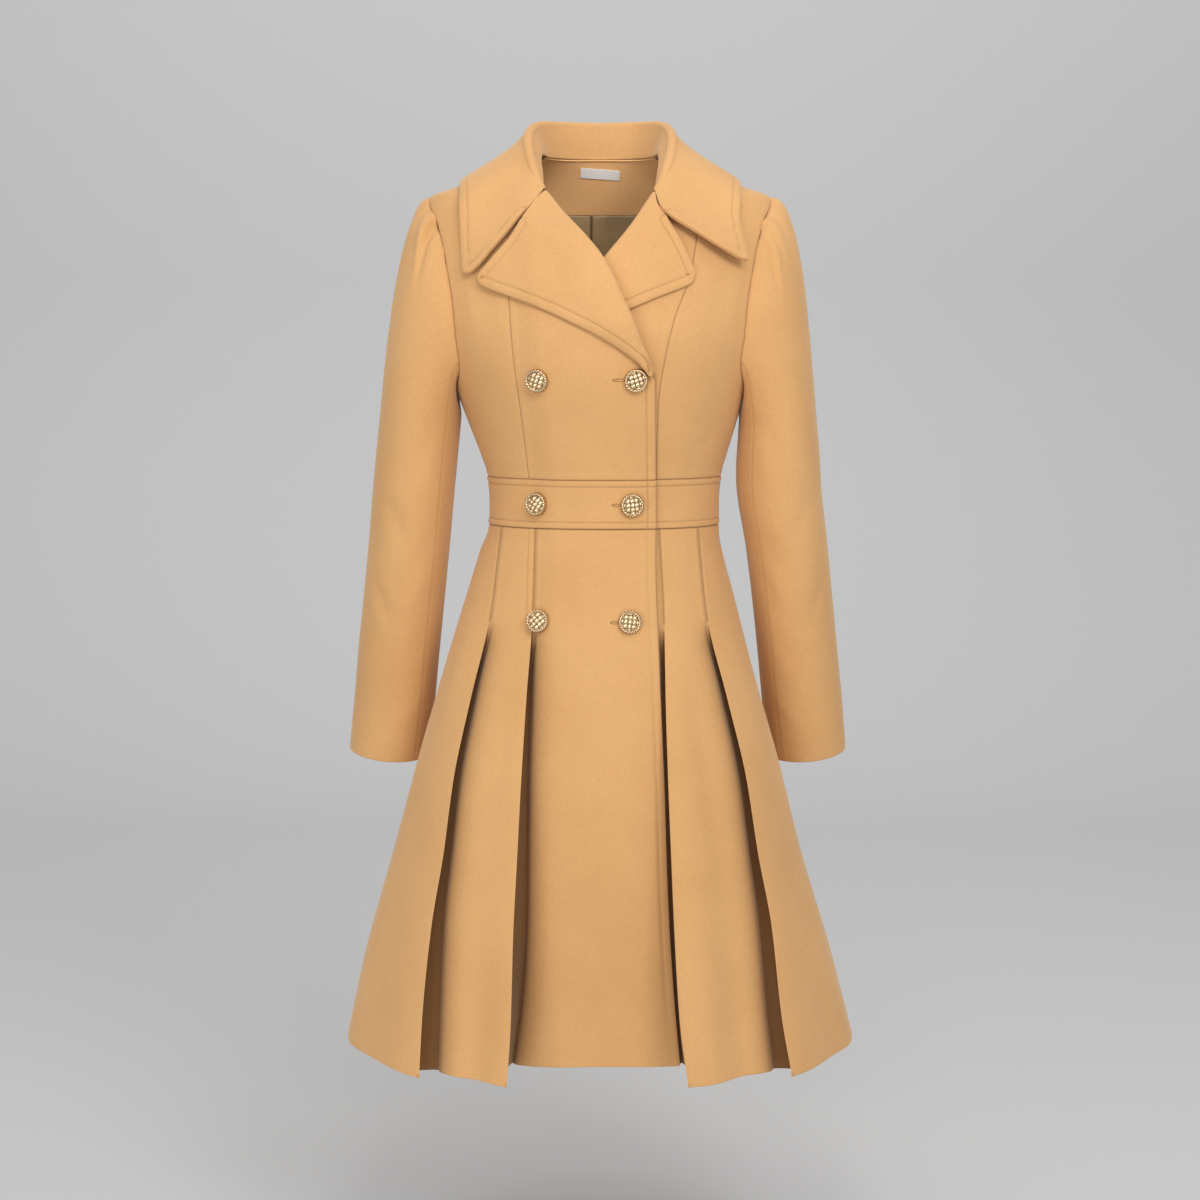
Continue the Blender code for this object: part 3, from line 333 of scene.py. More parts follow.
def arc_length(line):
    return np.concatenate([[0.0], np.cumsum(np.linalg.norm(np.diff(line, axis=0), axis=-1))])


def along_line(line, where):
    """Points of a line at fractions of its length."""
    run = arc_length(line)
    q = np.asarray(where, float) * run[-1]
    return np.stack([np.interp(q, run, line[:, k]) for k in range(line.shape[1])], -1)


# ------------------------------------------------------- profiles across edges
SEAM_NEAR = (0.0, 0.0004, 0.0009, 0.0015, 0.0024, 0.0036, 0.0055)
EDGE_NEAR = (0.0, 0.0003, 0.0008, 0.0015, 0.0028, 0.0044, 0.0060, 0.0069, 0.0075, 0.0080, 0.0085, 0.0091, 0.0102,
             0.0120)
BAND_NEAR = (0.0, 0.0004, 0.0010, 0.0020, 0.0034, 0.0048, 0.0057, 0.0062, 0.0066, 0.0070, 0.0076, 0.0088, 0.0105)


def seam_profile(d):
    """Two panels sewn edge to edge: a narrow valley between soft shoulders."""
    return -0.0006 * np.exp(-(d / 0.0007) ** 2) + 0.0003 * np.exp(-((d - 0.0042) / 0.0028) ** 2)


def stitched_profile(d, at=STITCH):
    """A finished edge: puffed between the fold and a line of topstitching."""
    puff = 0.0004 * np.sin(np.pi * np.clip(d / (at - 0.0003), 0, 1)) ** 0.7
    groove = -0.0006 * np.exp(-((d - at) / 0.0007) ** 2)
    return puff + groove + 0.0002 * np.exp(-((d - at - 0.0035) / 0.0026) ** 2)


def band_profile(d):
    """The waistband by its seam: a sewn valley, a puff and a line of topstitching."""
    valley = -0.0006 * np.exp(-(d / 0.0006) ** 2)
    puff = 0.0004 * np.sin(np.pi * np.clip(d / (BAND_STITCH - 0.0003), 0, 1)) ** 0.8
    groove = -0.0005 * np.exp(-((d - BAND_STITCH) / 0.0007) ** 2)
    return valley + puff + groove


def dark_line(d, width=0.0011):
    return np.exp(-(d / width) ** 2)


def near(points, line, most=0.06):
    """Each point's distance from a line, measured in space."""
    run = arc_length(line)
    count = max(2, int(run[-1] / 0.0004))
    dense = along_line(line, np.linspace(0, 1, count + 1))
    tree = kdtree.KDTree(len(dense))
    for k, p in enumerate(dense.tolist()):
        tree.insert(p, k)
    tree.balance()
    flat = points.reshape(-1, 3)
    lo, hi = dense.min(0) - most, dense.max(0) + most
    close = np.all((flat > lo) & (flat < hi), axis=1)
    result = np.full(len(flat), 1.0)
    find = tree.find
    result[close] = [find(p)[2] for p in flat[close].tolist()]
    return result.reshape(points.shape[:-1])


def grid_normals(points, ring, facing):
    """Unit normals of a grid, on the side where facing says."""
    if ring:
        across = np.roll(points, -1, 1) - np.roll(points, 1, 1)
    else:
        across = np.gradient(points, axis=1)
    down = np.gradient(points, axis=0)
    n = unit(np.cross(across, down))
    good = np.linalg.norm(np.cross(unit(across), unit(down)), axis=-1) > 0.05
    ref = facing(points) if callable(facing) else np.broadcast_to(np.asarray(facing, float), points.shape)
    if np.sum(n * ref * good[..., None]) < 0:
        n = -n
    # points of collapsed rows take the nearest good row's normal
    for i in range(1, len(n)):
        bad = ~good[i]
        n[i][bad] = n[i - 1][bad]
    return n


def out_of_body(points):
    ref = points.copy()
    ref[..., 2] = 0
    ref[..., 1] -= widest_y(points[..., 2])
    return ref


def crease_field(points, creases):
    """Soft troughs and ridges, each a line with a width and a height."""
    total = np.zeros(points.shape[:-1])
    for start, end, width, height in creases:
        a, b = np.array(start), np.array(end)
        ab = b - a
        t = np.clip(((points - a) @ ab) / (ab @ ab), 0, 1)
        foot = a + t[..., None] * ab
        d = np.linalg.norm(points - foot, axis=-1)
        fade = np.sin(np.pi * np.clip(0.06 + 0.88 * t, 0, 1)) ** 1.2
        total += height * fade * np.exp(-(d / width) ** 2)
    return total


# --------------------------------------------------------------- sheet builder
made = []


def mesh_object(name, verts, faces, mat, shade=None, smooth=True):
    mesh = bpy.data.meshes.new(name)
    mesh.from_pydata(verts, [], faces)
    mesh.materials.append(mat)
    if smooth:
        mesh.shade_smooth()
    # painted shade per vertex, an attribute that darkens the base colour in the material
    if shade is not None:
        layer = mesh.attributes.new("painted_shade", "FLOAT", "POINT")
        layer.data.foreach_set("value", np.asarray(shade, np.float32))
    mesh.validate()
    obj = bpy.data.objects.new(name, mesh)
    bpy.context.scene.collection.objects.link(obj)
    return obj


def border_loop(rows, cols):
    """Grid indices round the edge, and which side each belongs to."""
    top = [(0, j) for j in range(cols - 1)]
    right = [(i, cols - 1) for i in range(rows - 1)]
    bottom = [(rows - 1, j) for j in range(cols - 1, 0, -1)]
    left = [(i, 0) for i in range(rows - 1, 0, -1)]
    return top + right + bottom + left


def lip_rows(edge, out, n, free, thick, depth):
    """Rows of a rounded lip and the turned-in strip behind it."""
    r = thick / 2
    rows = []
    for deg in (45.0, 90.0, 135.0, 180.0):
        a = math.radians(deg)
        rows.append(edge - n * r * (1 - math.cos(a)) + out * (r * math.sin(a)) * free[:, None])
    under = rows[-1]
    for reach in (0.3, 1.0):
        rows.append(under - out * (depth * reach) * (0.15 + 0.85 * free[:, None]))
    return rows


def sheet(name, points, mat, nodes, facing=out_of_body, sides=(), lines=(), creases=(), bulge=None,
          ring=False, thick=CLOTH, depth=0.012, flat=None, area=None, extra_shade=None):
    """Builds a cloth piece from a grid of points on its outer face.

    sides names what each edge is: top, bottom, left, right to "seam", "stitched", "free" or "plain".
    lines are (line, profile, painted shade) laid across the grid.
    """
    points = np.array(points, float)
    rows, cols = points.shape[:2]
    kinds = dict(top="plain", bottom="plain", left="plain", right="plain")
    kinds.update(dict(sides))
    n = grid_normals(points, ring, facing)
    d = np.zeros((rows, cols))
    # painted shade: how far the base colour is darkened, along seam and stitch grooves, along the given lines and where
    # extra_shade says
    shade = np.zeros((rows, cols))
    edges = dict(top=points[0], bottom=points[-1], left=points[:, 0], right=points[:, -1])
    for key, line in edges.items():
        if ring and key in ("left", "right"):
            continue
        if ring:
            line = np.concatenate([line, line[:1]])
        kind = kinds[key]
        if kind in ("seam", "stitched", "band", "hem"):
            dist = near(points, line)
            if kind == "seam":
                d += seam_profile(dist)
                shade = np.maximum(shade, 0.32 * dark_line(dist, 0.0008))
            elif kind == "band":
                d += band_profile(dist)
                shade = np.maximum(shade, np.maximum(0.32 * dark_line(dist, 0.0007), 0.22 * dark_line(dist - BAND_STITCH, 0.0007)))
            elif kind == "stitched":
                d += stitched_profile(dist)
                shade = np.maximum(shade, 0.22 * dark_line(dist - STITCH, 0.0007))
    for line, profile, dark in lines:
        dist = near(points, np.asarray(line, float))
        d += profile(dist)
        if dark is not None:
            shade = np.maximum(shade, dark(dist))
    if len(creases):
        d += crease_field(points, creases)
    if bulge is not None:
        d += bulge(points)
    if extra_shade is not None:
        shade = np.maximum(shade, extra_shade(points) if callable(extra_shade) else extra_shade)
    smooth_n = n
    outer = points + n * d[..., None]
    n = grid_normals(outer, ring, facing)

    index = np.arange(rows * cols).reshape(rows, cols)
    sign = np.sum(np.cross(outer[:-1, 1:] - outer[:-1, :-1], outer[1:, :-1] - outer[:-1, :-1]) * n[:-1, :-1]) > 0
    if ring:
        a, b = index[:-1], np.roll(index, -1, 1)[:-1]
        c, e = np.roll(index, -1, 1)[1:], index[1:]
    else:
        a, b, c, e = index[:-1, :-1], index[:-1, 1:], index[1:, 1:], index[1:, :-1]
    quads = np.stack([a, b, c, e], -1).reshape(-1, 4)
    if not sign:
        quads = quads[:, ::-1]
    verts = [outer.reshape(-1, 3)]
    shades = [shade.reshape(-1)]
    faces = [quads]
    count = rows * cols

    def add_lip(loop_points, loop_n, loop_out, free, loop_ids, closed, flip, loop_shade):
        nonlocal count
        strips = lip_rows(loop_points, loop_out, loop_n, free, thick, depth)
        last = np.asarray(loop_ids)
        m = len(last)
        for strip in strips:
            ids = count + np.arange(m)
            verts.append(strip)
            shades.append(loop_shade)
            count += m
            if closed:
                q = np.stack([last, np.roll(last, -1), np.roll(ids, -1), ids], -1)
            else:
                q = np.stack([last[:-1], last[1:], ids[1:], ids[:-1]], -1)
            faces.append(q if flip else q[:, ::-1])
            last = ids

    if ring:
        for row, inward, key in ((0, 1, "top"), (rows - 1, rows - 2, "bottom")):
            p = outer[row]
            out = points[row] - points[inward]
            tangent = unit(np.roll(points[row], -1, 0) - np.roll(points[row], 1, 0))
            out = unit(out - np.sum(out * tangent, -1, keepdims=True) * tangent)
            free = np.full(cols, 1.0 if kinds[key] in ("stitched", "free", "hem") else 0.0)
            add_lip(p, smooth_n[row], out, free, index[row], True, sign == (row != 0), shade[row])
    else:
        loop = border_loop(rows, cols)
        li = np.array([q[0] for q in loop])
        lj = np.array([q[1] for q in loop])
        p, q = outer[li, lj], points[li, lj]
        nn = smooth_n[li, lj]
        outward = np.zeros_like(p)
        free = np.zeros(len(p))
        tangent = unit(np.roll(q, -1, 0) - np.roll(q, 1, 0))
        for key, mask, di, dj in (("top", li == 0, 1, 0), ("bottom", li == rows - 1, -1, 0),
                                  ("left", lj == 0, 0, 1), ("right", lj == cols - 1, 0, -1)):
            inner = points[np.clip(li + di, 0, rows - 1), np.clip(lj + dj, 0, cols - 1)]
            outward[mask] += unit(q - inner)[mask]
            free[mask] = np.maximum(free[mask], 1.0 if kinds[key] in ("stitched", "free", "hem") else 0.0)
        side = np.cross(tangent, nn)
        out = unit(side) * np.sign(np.sum(side * outward))
        add_lip(p, nn, out, free, index[li, lj], True, not sign, shade[li, lj])

    verts = np.concatenate(verts)
    shades = np.concatenate(shades)
    faces = np.concatenate(faces)
    obj = mesh_object(name, verts.tolist(), faces.tolist(), mat, shades)
    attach(obj, "root")
    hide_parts(*nodes)
    widths = np.linalg.norm(np.diff(points, axis=1), axis=-1).sum(1)
    if ring:
        widths = widths + np.linalg.norm(points[:, 0] - points[:, -1], axis=-1)
    lengths = np.linalg.norm(np.diff(points, axis=0), axis=-1).sum(0)
    cross = np.linalg.norm(np.cross(points[:-1, 1:] - points[:-1, :-1], points[1:, :-1] - points[:-1, :-1]), axis=-1)
    found = (float(widths.max()), float(lengths.max()), float(cross.sum()))
    print("SHEET %s measured width %.3f length %.3f area %.4f" % ((name,) + found))
    flat = flat or (round(found[0], 3), round(found[1], 3))
    if area is None:
        area = min(found[2], flat[0] * flat[1])
    made.append(obj)
    return obj


# ------------------------------------------------------------------- materials
def node(tree, kind, at, **values):
    made_node = tree.nodes.new(kind)
    made_node.location = at
    for key, value in values.items():
        setattr(made_node, key, value)
    return made_node


def noise(tree, coords, scale, detail, rough, at):
    made_node = node(tree, "ShaderNodeTexNoise", at)
    made_node.inputs["Scale"].default_value = scale
    made_node.inputs["Detail"].default_value = detail
    made_node.inputs["Roughness"].default_value = rough
    tree.links.new(coords.outputs["Object"], made_node.inputs["Vector"])
    return made_node


def wool(name, colour, dark, light, sheen=0.35):
    """Felted wool: cloudy colour, short nap and a soft bloom at grazing angles."""
    mat = bpy.data.materials.new(name)
    mat.use_nodes = True
    tree = mat.node_tree
    shader = tree.nodes["Principled BSDF"]
    link = tree.links.new
    coords = node(tree, "ShaderNodeTexCoord", (-1400, 0))
    clouds = noise(tree, coords, 9.0, 3.0, 0.55, (-1150, 300))
    fleck = noise(tree, coords, 420.0, 3.0, 0.6, (-1150, 60))
    ramp = node(tree, "ShaderNodeValToRGB", (-900, 300))
    ramp.color_ramp.elements[0].position = 0.30
    ramp.color_ramp.elements[0].color = (*dark, 1)
    ramp.color_ramp.elements[1].position = 0.72
    ramp.color_ramp.elements[1].color = (*light, 1)
    middle = ramp.color_ramp.elements.new(0.5)
    middle.color = (*colour, 1)
    link(clouds.outputs["Fac"], ramp.inputs["Fac"])
    grain = node(tree, "ShaderNodeMapRange", (-900, 60))
    grain.inputs["From Min"].default_value = 0.25
    grain.inputs["From Max"].default_value = 0.75
    grain.inputs["To Min"].default_value = 0.93
    grain.inputs["To Max"].default_value = 1.05
    link(fleck.outputs["Fac"], grain.inputs["Value"])
    tint = node(tree, "ShaderNodeVectorMath", (-640, 240), operation="SCALE")
    link(ramp.outputs["Color"], tint.inputs[0])
    link(grain.outputs["Result"], tint.inputs["Scale"])
    # painted shade: the vertex attribute multiplies the base colour towards this dark brown in seam and stitch grooves,
    # pleat slots and beside the upper front's edge
    painted_shade = node(tree, "ShaderNodeAttribute", (-900, -160), attribute_name="painted_shade")
    mix = node(tree, "ShaderNodeMix", (-400, 200), data_type="RGBA", blend_type="MULTIPLY")
    mix.inputs["B"].default_value = (0.130, 0.072, 0.032, 1)
    link(painted_shade.outputs["Fac"], mix.inputs["Factor"])
    link(tint.outputs["Vector"], mix.inputs["A"])
    link(mix.outputs["Result"], shader.inputs["Base Color"])
    shader.inputs["Roughness"].default_value = 0.92
    shader.inputs["Specular IOR Level"].default_value = 0.22
    shader.inputs["Sheen Weight"].default_value = sheen
    shader.inputs["Sheen Roughness"].default_value = 0.45
    shader.inputs["Sheen Tint"].default_value = (1.0, 0.84, 0.62, 1)
    nap = noise(tree, coords, 1500.0, 4.0, 0.65, (-900, -380))
    soft = noise(tree, coords, 160.0, 2.0, 0.5, (-900, -600))
    bump1 = node(tree, "ShaderNodeBump", (-400, -300))
    bump1.inputs["Strength"].default_value = 0.35
    bump1.inputs["Distance"].default_value = 0.0004
    link(nap.outputs["Fac"], bump1.inputs["Height"])
    bump2 = node(tree, "ShaderNodeBump", (-200, -300))
    bump2.inputs["Strength"].default_value = 0.25
    bump2.inputs["Distance"].default_value = 0.0006
    link(soft.outputs["Fac"], bump2.inputs["Height"])
    link(bump1.outputs["Normal"], bump2.inputs["Normal"])
    link(bump2.outputs["Normal"], shader.inputs["Normal"])
    return mat


def satin(name, colour):
    """Lining: close weave with a low sheen."""
    mat = bpy.data.materials.new(name)
    mat.use_nodes = True
    tree = mat.node_tree
    shader = tree.nodes["Principled BSDF"]
    link = tree.links.new
    coords = node(tree, "ShaderNodeTexCoord", (-1200, 0))
    clouds = noise(tree, coords, 30.0, 3.0, 0.5, (-950, 200))
    ramp = node(tree, "ShaderNodeValToRGB", (-700, 200))
    ramp.color_ramp.elements[0].position = 0.3
    ramp.color_ramp.elements[0].color = (colour[0] * 0.85, colour[1] * 0.85, colour[2] * 0.85, 1)
    ramp.color_ramp.elements[1].position = 0.7
    ramp.color_ramp.elements[1].color = (colour[0] * 1.1, colour[1] * 1.1, colour[2] * 1.1, 1)
    link(clouds.outputs["Fac"], ramp.inputs["Fac"])
    # painted shade: the vertex attribute darkens the lining, most along its pleat's edge
    painted_shade = node(tree, "ShaderNodeAttribute", (-700, -60), attribute_name="painted_shade")
    mix = node(tree, "ShaderNodeMix", (-400, 200), data_type="RGBA", blend_type="MULTIPLY")
    mix.inputs["B"].default_value = (0.25, 0.22, 0.18, 1)
    link(painted_shade.outputs["Fac"], mix.inputs["Factor"])
    link(ramp.outputs["Color"], mix.inputs["A"])
    link(mix.outputs["Result"], shader.inputs["Base Color"])
    shader.inputs["Roughness"].default_value = 0.42
    shader.inputs["Sheen Weight"].default_value = 0.1
    weave = node(tree, "ShaderNodeTexWave", (-700, -300), wave_type="BANDS", bands_direction="DIAGONAL")
    weave.inputs["Scale"].default_value = 900.0
    weave.inputs["Distortion"].default_value = 1.0
    link(coords.outputs["Object"], weave.inputs["Vector"])
    bump = node(tree, "ShaderNodeBump", (-400, -300))
    bump.inputs["Strength"].default_value = 0.12
    bump.inputs["Distance"].default_value = 0.0002
    link(weave.outputs["Fac"], bump.inputs["Height"])
    link(bump.outputs["Normal"], shader.inputs["Normal"])
    return mat


def tape(name):
    """Label: fine white woven tape."""
    mat = bpy.data.materials.new(name)
    mat.use_nodes = True
    tree = mat.node_tree
    shader = tree.nodes["Principled BSDF"]
    link = tree.links.new
    coords = node(tree, "ShaderNodeTexCoord", (-1200, 0))
    weave = node(tree, "ShaderNodeTexWave", (-900, 0), wave_type="BANDS", bands_direction="Z")
    weave.inputs["Scale"].default_value = 700.0
    link(coords.outputs["Object"], weave.inputs["Vector"])
    ramp = node(tree, "ShaderNodeValToRGB", (-650, 100))
    ramp.color_ramp.elements[0].color = (0.80, 0.78, 0.73, 1)
    ramp.color_ramp.elements[1].color = (0.90, 0.89, 0.85, 1)
    link(weave.outputs["Fac"], ramp.inputs["Fac"])
    link(ramp.outputs["Color"], shader.inputs["Base Color"])
    bump = node(tree, "ShaderNodeBump", (-400, -200))
    bump.inputs["Strength"].default_value = 0.2
    bump.inputs["Distance"].default_value = 0.0001
    link(weave.outputs["Fac"], bump.inputs["Height"])
    link(bump.outputs["Normal"], shader.inputs["Normal"])
    shader.inputs["Roughness"].default_value = 0.6
    return mat


def gilt(name):
    """Cast gilt button: gold, darkened in its recesses by painted shade."""
    mat = bpy.data.materials.new(name)
    mat.use_nodes = True
    tree = mat.node_tree
    shader = tree.nodes["Principled BSDF"]
    link = tree.links.new
    coords = node(tree, "ShaderNodeTexCoord", (-1200, 0))
    spots = noise(tree, coords, 700.0, 3.0, 0.6, (-950, -200))
    # painted shade: the vertex attribute runs the colour from gold to near-black brown in the recesses
    painted_shade = node(tree, "ShaderNodeAttribute", (-900, 200), attribute_name="painted_shade")
    ramp = node(tree, "ShaderNodeValToRGB", (-650, 200))
    ramp.color_ramp.elements[0].color = (0.97, 0.74, 0.46, 1)
    ramp.color_ramp.elements[1].color = (0.11, 0.055, 0.018, 1)
    link(painted_shade.outputs["Fac"], ramp.inputs["Fac"])
    link(ramp.outputs["Color"], shader.inputs["Base Color"])
    rough = node(tree, "ShaderNodeMapRange", (-650, -100))
    rough.inputs["To Min"].default_value = 0.16
    rough.inputs["To Max"].default_value = 0.34
    link(spots.outputs["Fac"], rough.inputs["Value"])
    link(rough.outputs["Result"], shader.inputs["Roughness"])
    shader.inputs["Metallic"].default_value = 1.0
    bump = node(tree, "ShaderNodeBump", (-400, -300))
    bump.inputs["Strength"].default_value = 0.15
    bump.inputs["Distance"].default_value = 0.0001
    link(spots.outputs["Fac"], bump.inputs["Height"])
    link(bump.outputs["Normal"], shader.inputs["Normal"])
    return mat


camel = wool("camel_wool", (0.640, 0.352, 0.142), (0.610, 0.330, 0.130), (0.670, 0.375, 0.155))
# a lighter copy of the camel wool for the facing: painted light, brightening the inside of the neck that the lamps
# leave dim
facing_wool_painted_light = wool("camel_facing_painted_light", (0.850, 0.480, 0.205), (0.815, 0.455, 0.190), (0.885, 0.505, 0.220), 0.2)
thread = wool("camel_thread", (0.52, 0.28, 0.11), (0.50, 0.27, 0.105), (0.56, 0.31, 0.125), 0.1)
lining = satin("lining_satin", (0.42, 0.29, 0.14))
white = tape("label_tape")
brass = gilt("gilt_button")


# ------------------------------------------------------------------ the panels
def heights(top, bottom, gap, near_top=SEAM_NEAR, near_bottom=SEAM_NEAR):
    """Heights of a piece's rows, closer together by its ends."""
    a, b = np.array(near_top), np.array(near_bottom)
    length = top - bottom
    count = max(2, int((length - a[-1] - b[-1]) / gap))
    mid = np.linspace(a[-1], length - b[-1], count + 1)[1:-1]
    return top - np.concatenate([a, mid, (length - b)[::-1]])


def spread(width, near_a, near_b, count):
    a, b = np.array(near_a), np.array(near_b)
    ka, kb = min(1.0, 0.45 * width / a[-1]), min(1.0, 0.45 * width / b[-1])
    mid = np.linspace(a[-1] * ka, width - b[-1] * kb, count + 1)[1:-1]
    return np.concatenate([a * ka, mid, (width - b * kb)[::-1]])


def panel_grid(zs, start, end, lift, count, near_a=SEAM_NEAR, near_b=SEAM_NEAR, thick=CLOTH):
    rows = []
    for z in zs:
        deg = np.linspace(start(z), end(z), 60)
        line = skin(deg, z, lift(x_of(deg, z), z) + thick)
        run = arc_length(line)
        at = np.interp(spread(run[-1], near_a, near_b, count), run, deg)
        rows.append(skin(at, z, lift(x_of(at, z), z) + thick))
    return np.array(rows)


def shoulder_heights(top, bottom, gap=0.0016):
    """Close rows over the flat shoulders and the turns of the armhole, even rows below."""
    parts = [np.linspace(top, -0.0240, int((top + 0.0240) / 0.0007) + 2),
             np.linspace(-0.0247, -0.0460, 24),
             np.linspace(-0.0474, -0.2090, 100),
             np.linspace(-0.2100, -0.2232, 18),
             heights(-0.2246, bottom, gap, (0.0, 0.0014))]
    return np.concatenate([np.atleast_1d(p) for p in parts])


def beside(line, z, reach):
    slope = (line(z + 0.003) - line(z - 0.003)) / 0.006
    return reach * math.sqrt(1 + slope * slope)


def inner_right(z):
    if z > -0.0235:
        return deg_at(-neckline(z), z)
    reach = beside(roll_line, z, ROLL_R + CLOTH / 2 + 0.0006) * (1 - step((-0.195 - z) / 0.018))
    return deg_at(min(roll_line(z), front_edge(z)) - reach, z) if z > -0.213 else deg_at(front_edge(z), z)


def inner_left(z):
    hidden = princess_right(z) + 0.0255
    if z > -0.0235:
        return deg_at(neckline(z), z)
    x = roll_under(z) + beside(roll_under, z, UNDER_R + CLOTH / 2 + 0.0006) if z > -0.172 else hidden
    return deg_at(max(x, hidden), z)


def periodic(values, count):
    """A smooth closed curve through evenly spaced values."""
    v = np.asarray(values, float)
    m = len(v)
    q = np.arange(count) * m / count
    i = np.floor(q).astype(int)
    t = q - i
    p0, p1, p2, p3 = v[(i - 1) % m], v[i % m], v[(i + 1) % m], v[(i + 2) % m]
    return 0.5 * (2 * p1 + (p2 - p0) * t + (2 * p0 - 5 * p1 + 4 * p2 - p3) * t * t + (3 * p1 - p0 - 3 * p2 + p3) * t ** 3)


def armhole_curve(count):
    rows = [(r[1], r[0]) for r in ARMHOLE] + [(r[2], r[0]) for r in ARMHOLE[-2:0:-1]]
    return periodic([r[0] for r in rows], count), periodic([r[1] for r in rows], count)


def edge_shadow(points):
    """The narrow shade on the under front beside the upper front's edge."""
    x, z = points[..., 0], points[..., 2]
    edge = front_edge(np.minimum(z, -0.2150))
    return np.where(z < -0.2050, 0.62 * np.exp(-(np.clip(x - edge, 0, 1) / 0.0030) ** 1.4) * (x > edge - 0.02), 0.0)


BODICE_CREASES = (
    # from, to, width, height (a trough is below zero)
    ((-0.128, -0.085, -0.070), (-0.118, -0.112, -0.175), 0.011, -0.0026),
    ((-0.143, -0.075, -0.085), (-0.133, -0.098, -0.165), 0.008, 0.0018),
    ((0.130, -0.088, -0.075), (0.122, -0.110, -0.180), 0.012, -0.0022),
    ((0.146, -0.072, -0.095), (0.137, -0.095, -0.170), 0.008, 0.0016),
    ((-0.110, -0.100, -0.200), (-0.066, -0.108, -0.292), 0.012, 0.0014),
    ((0.120, -0.090, -0.215), (0.085, -0.098, -0.290), 0.012, 0.0013),
    ((-0.125, -0.060, -0.262), (-0.088, -0.092, -0.300), 0.008, -0.0012),
    ((0.128, -0.058, -0.255), (0.096, -0.086, -0.302), 0.008, -0.0011),
    ((-0.030, -0.118, -0.236), (0.010, -0.112, -0.300), 0.014, -0.0009),
)
BACK_CREASES = (
    ((-0.120, 0.085, -0.080), (-0.112, 0.094, -0.185), 0.012, -0.0022),
    ((0.124, 0.083, -0.075), (0.114, 0.092, -0.178), 0.011, -0.0024),
    ((-0.140, 0.062, -0.100), (-0.126, 0.070, -0.176), 0.008, 0.0014),
    ((0.143, 0.060, -0.090), (0.128, 0.069, -0.182), 0.008, 0.0015),
    ((-0.060, 0.091, -0.215), (-0.034, 0.083, -0.300), 0.013, 0.0013),
    ((0.066, 0.090, -0.205), (0.040, 0.083, -0.292), 0.014, 0.0012),
    ((-0.012, 0.096, -0.200), (0.008, 0.085, -0.296), 0.015, -0.0012),
    ((-0.100, 0.066, -0.260), (-0.070, 0.080, -0.302), 0.008, -0.0012),
)


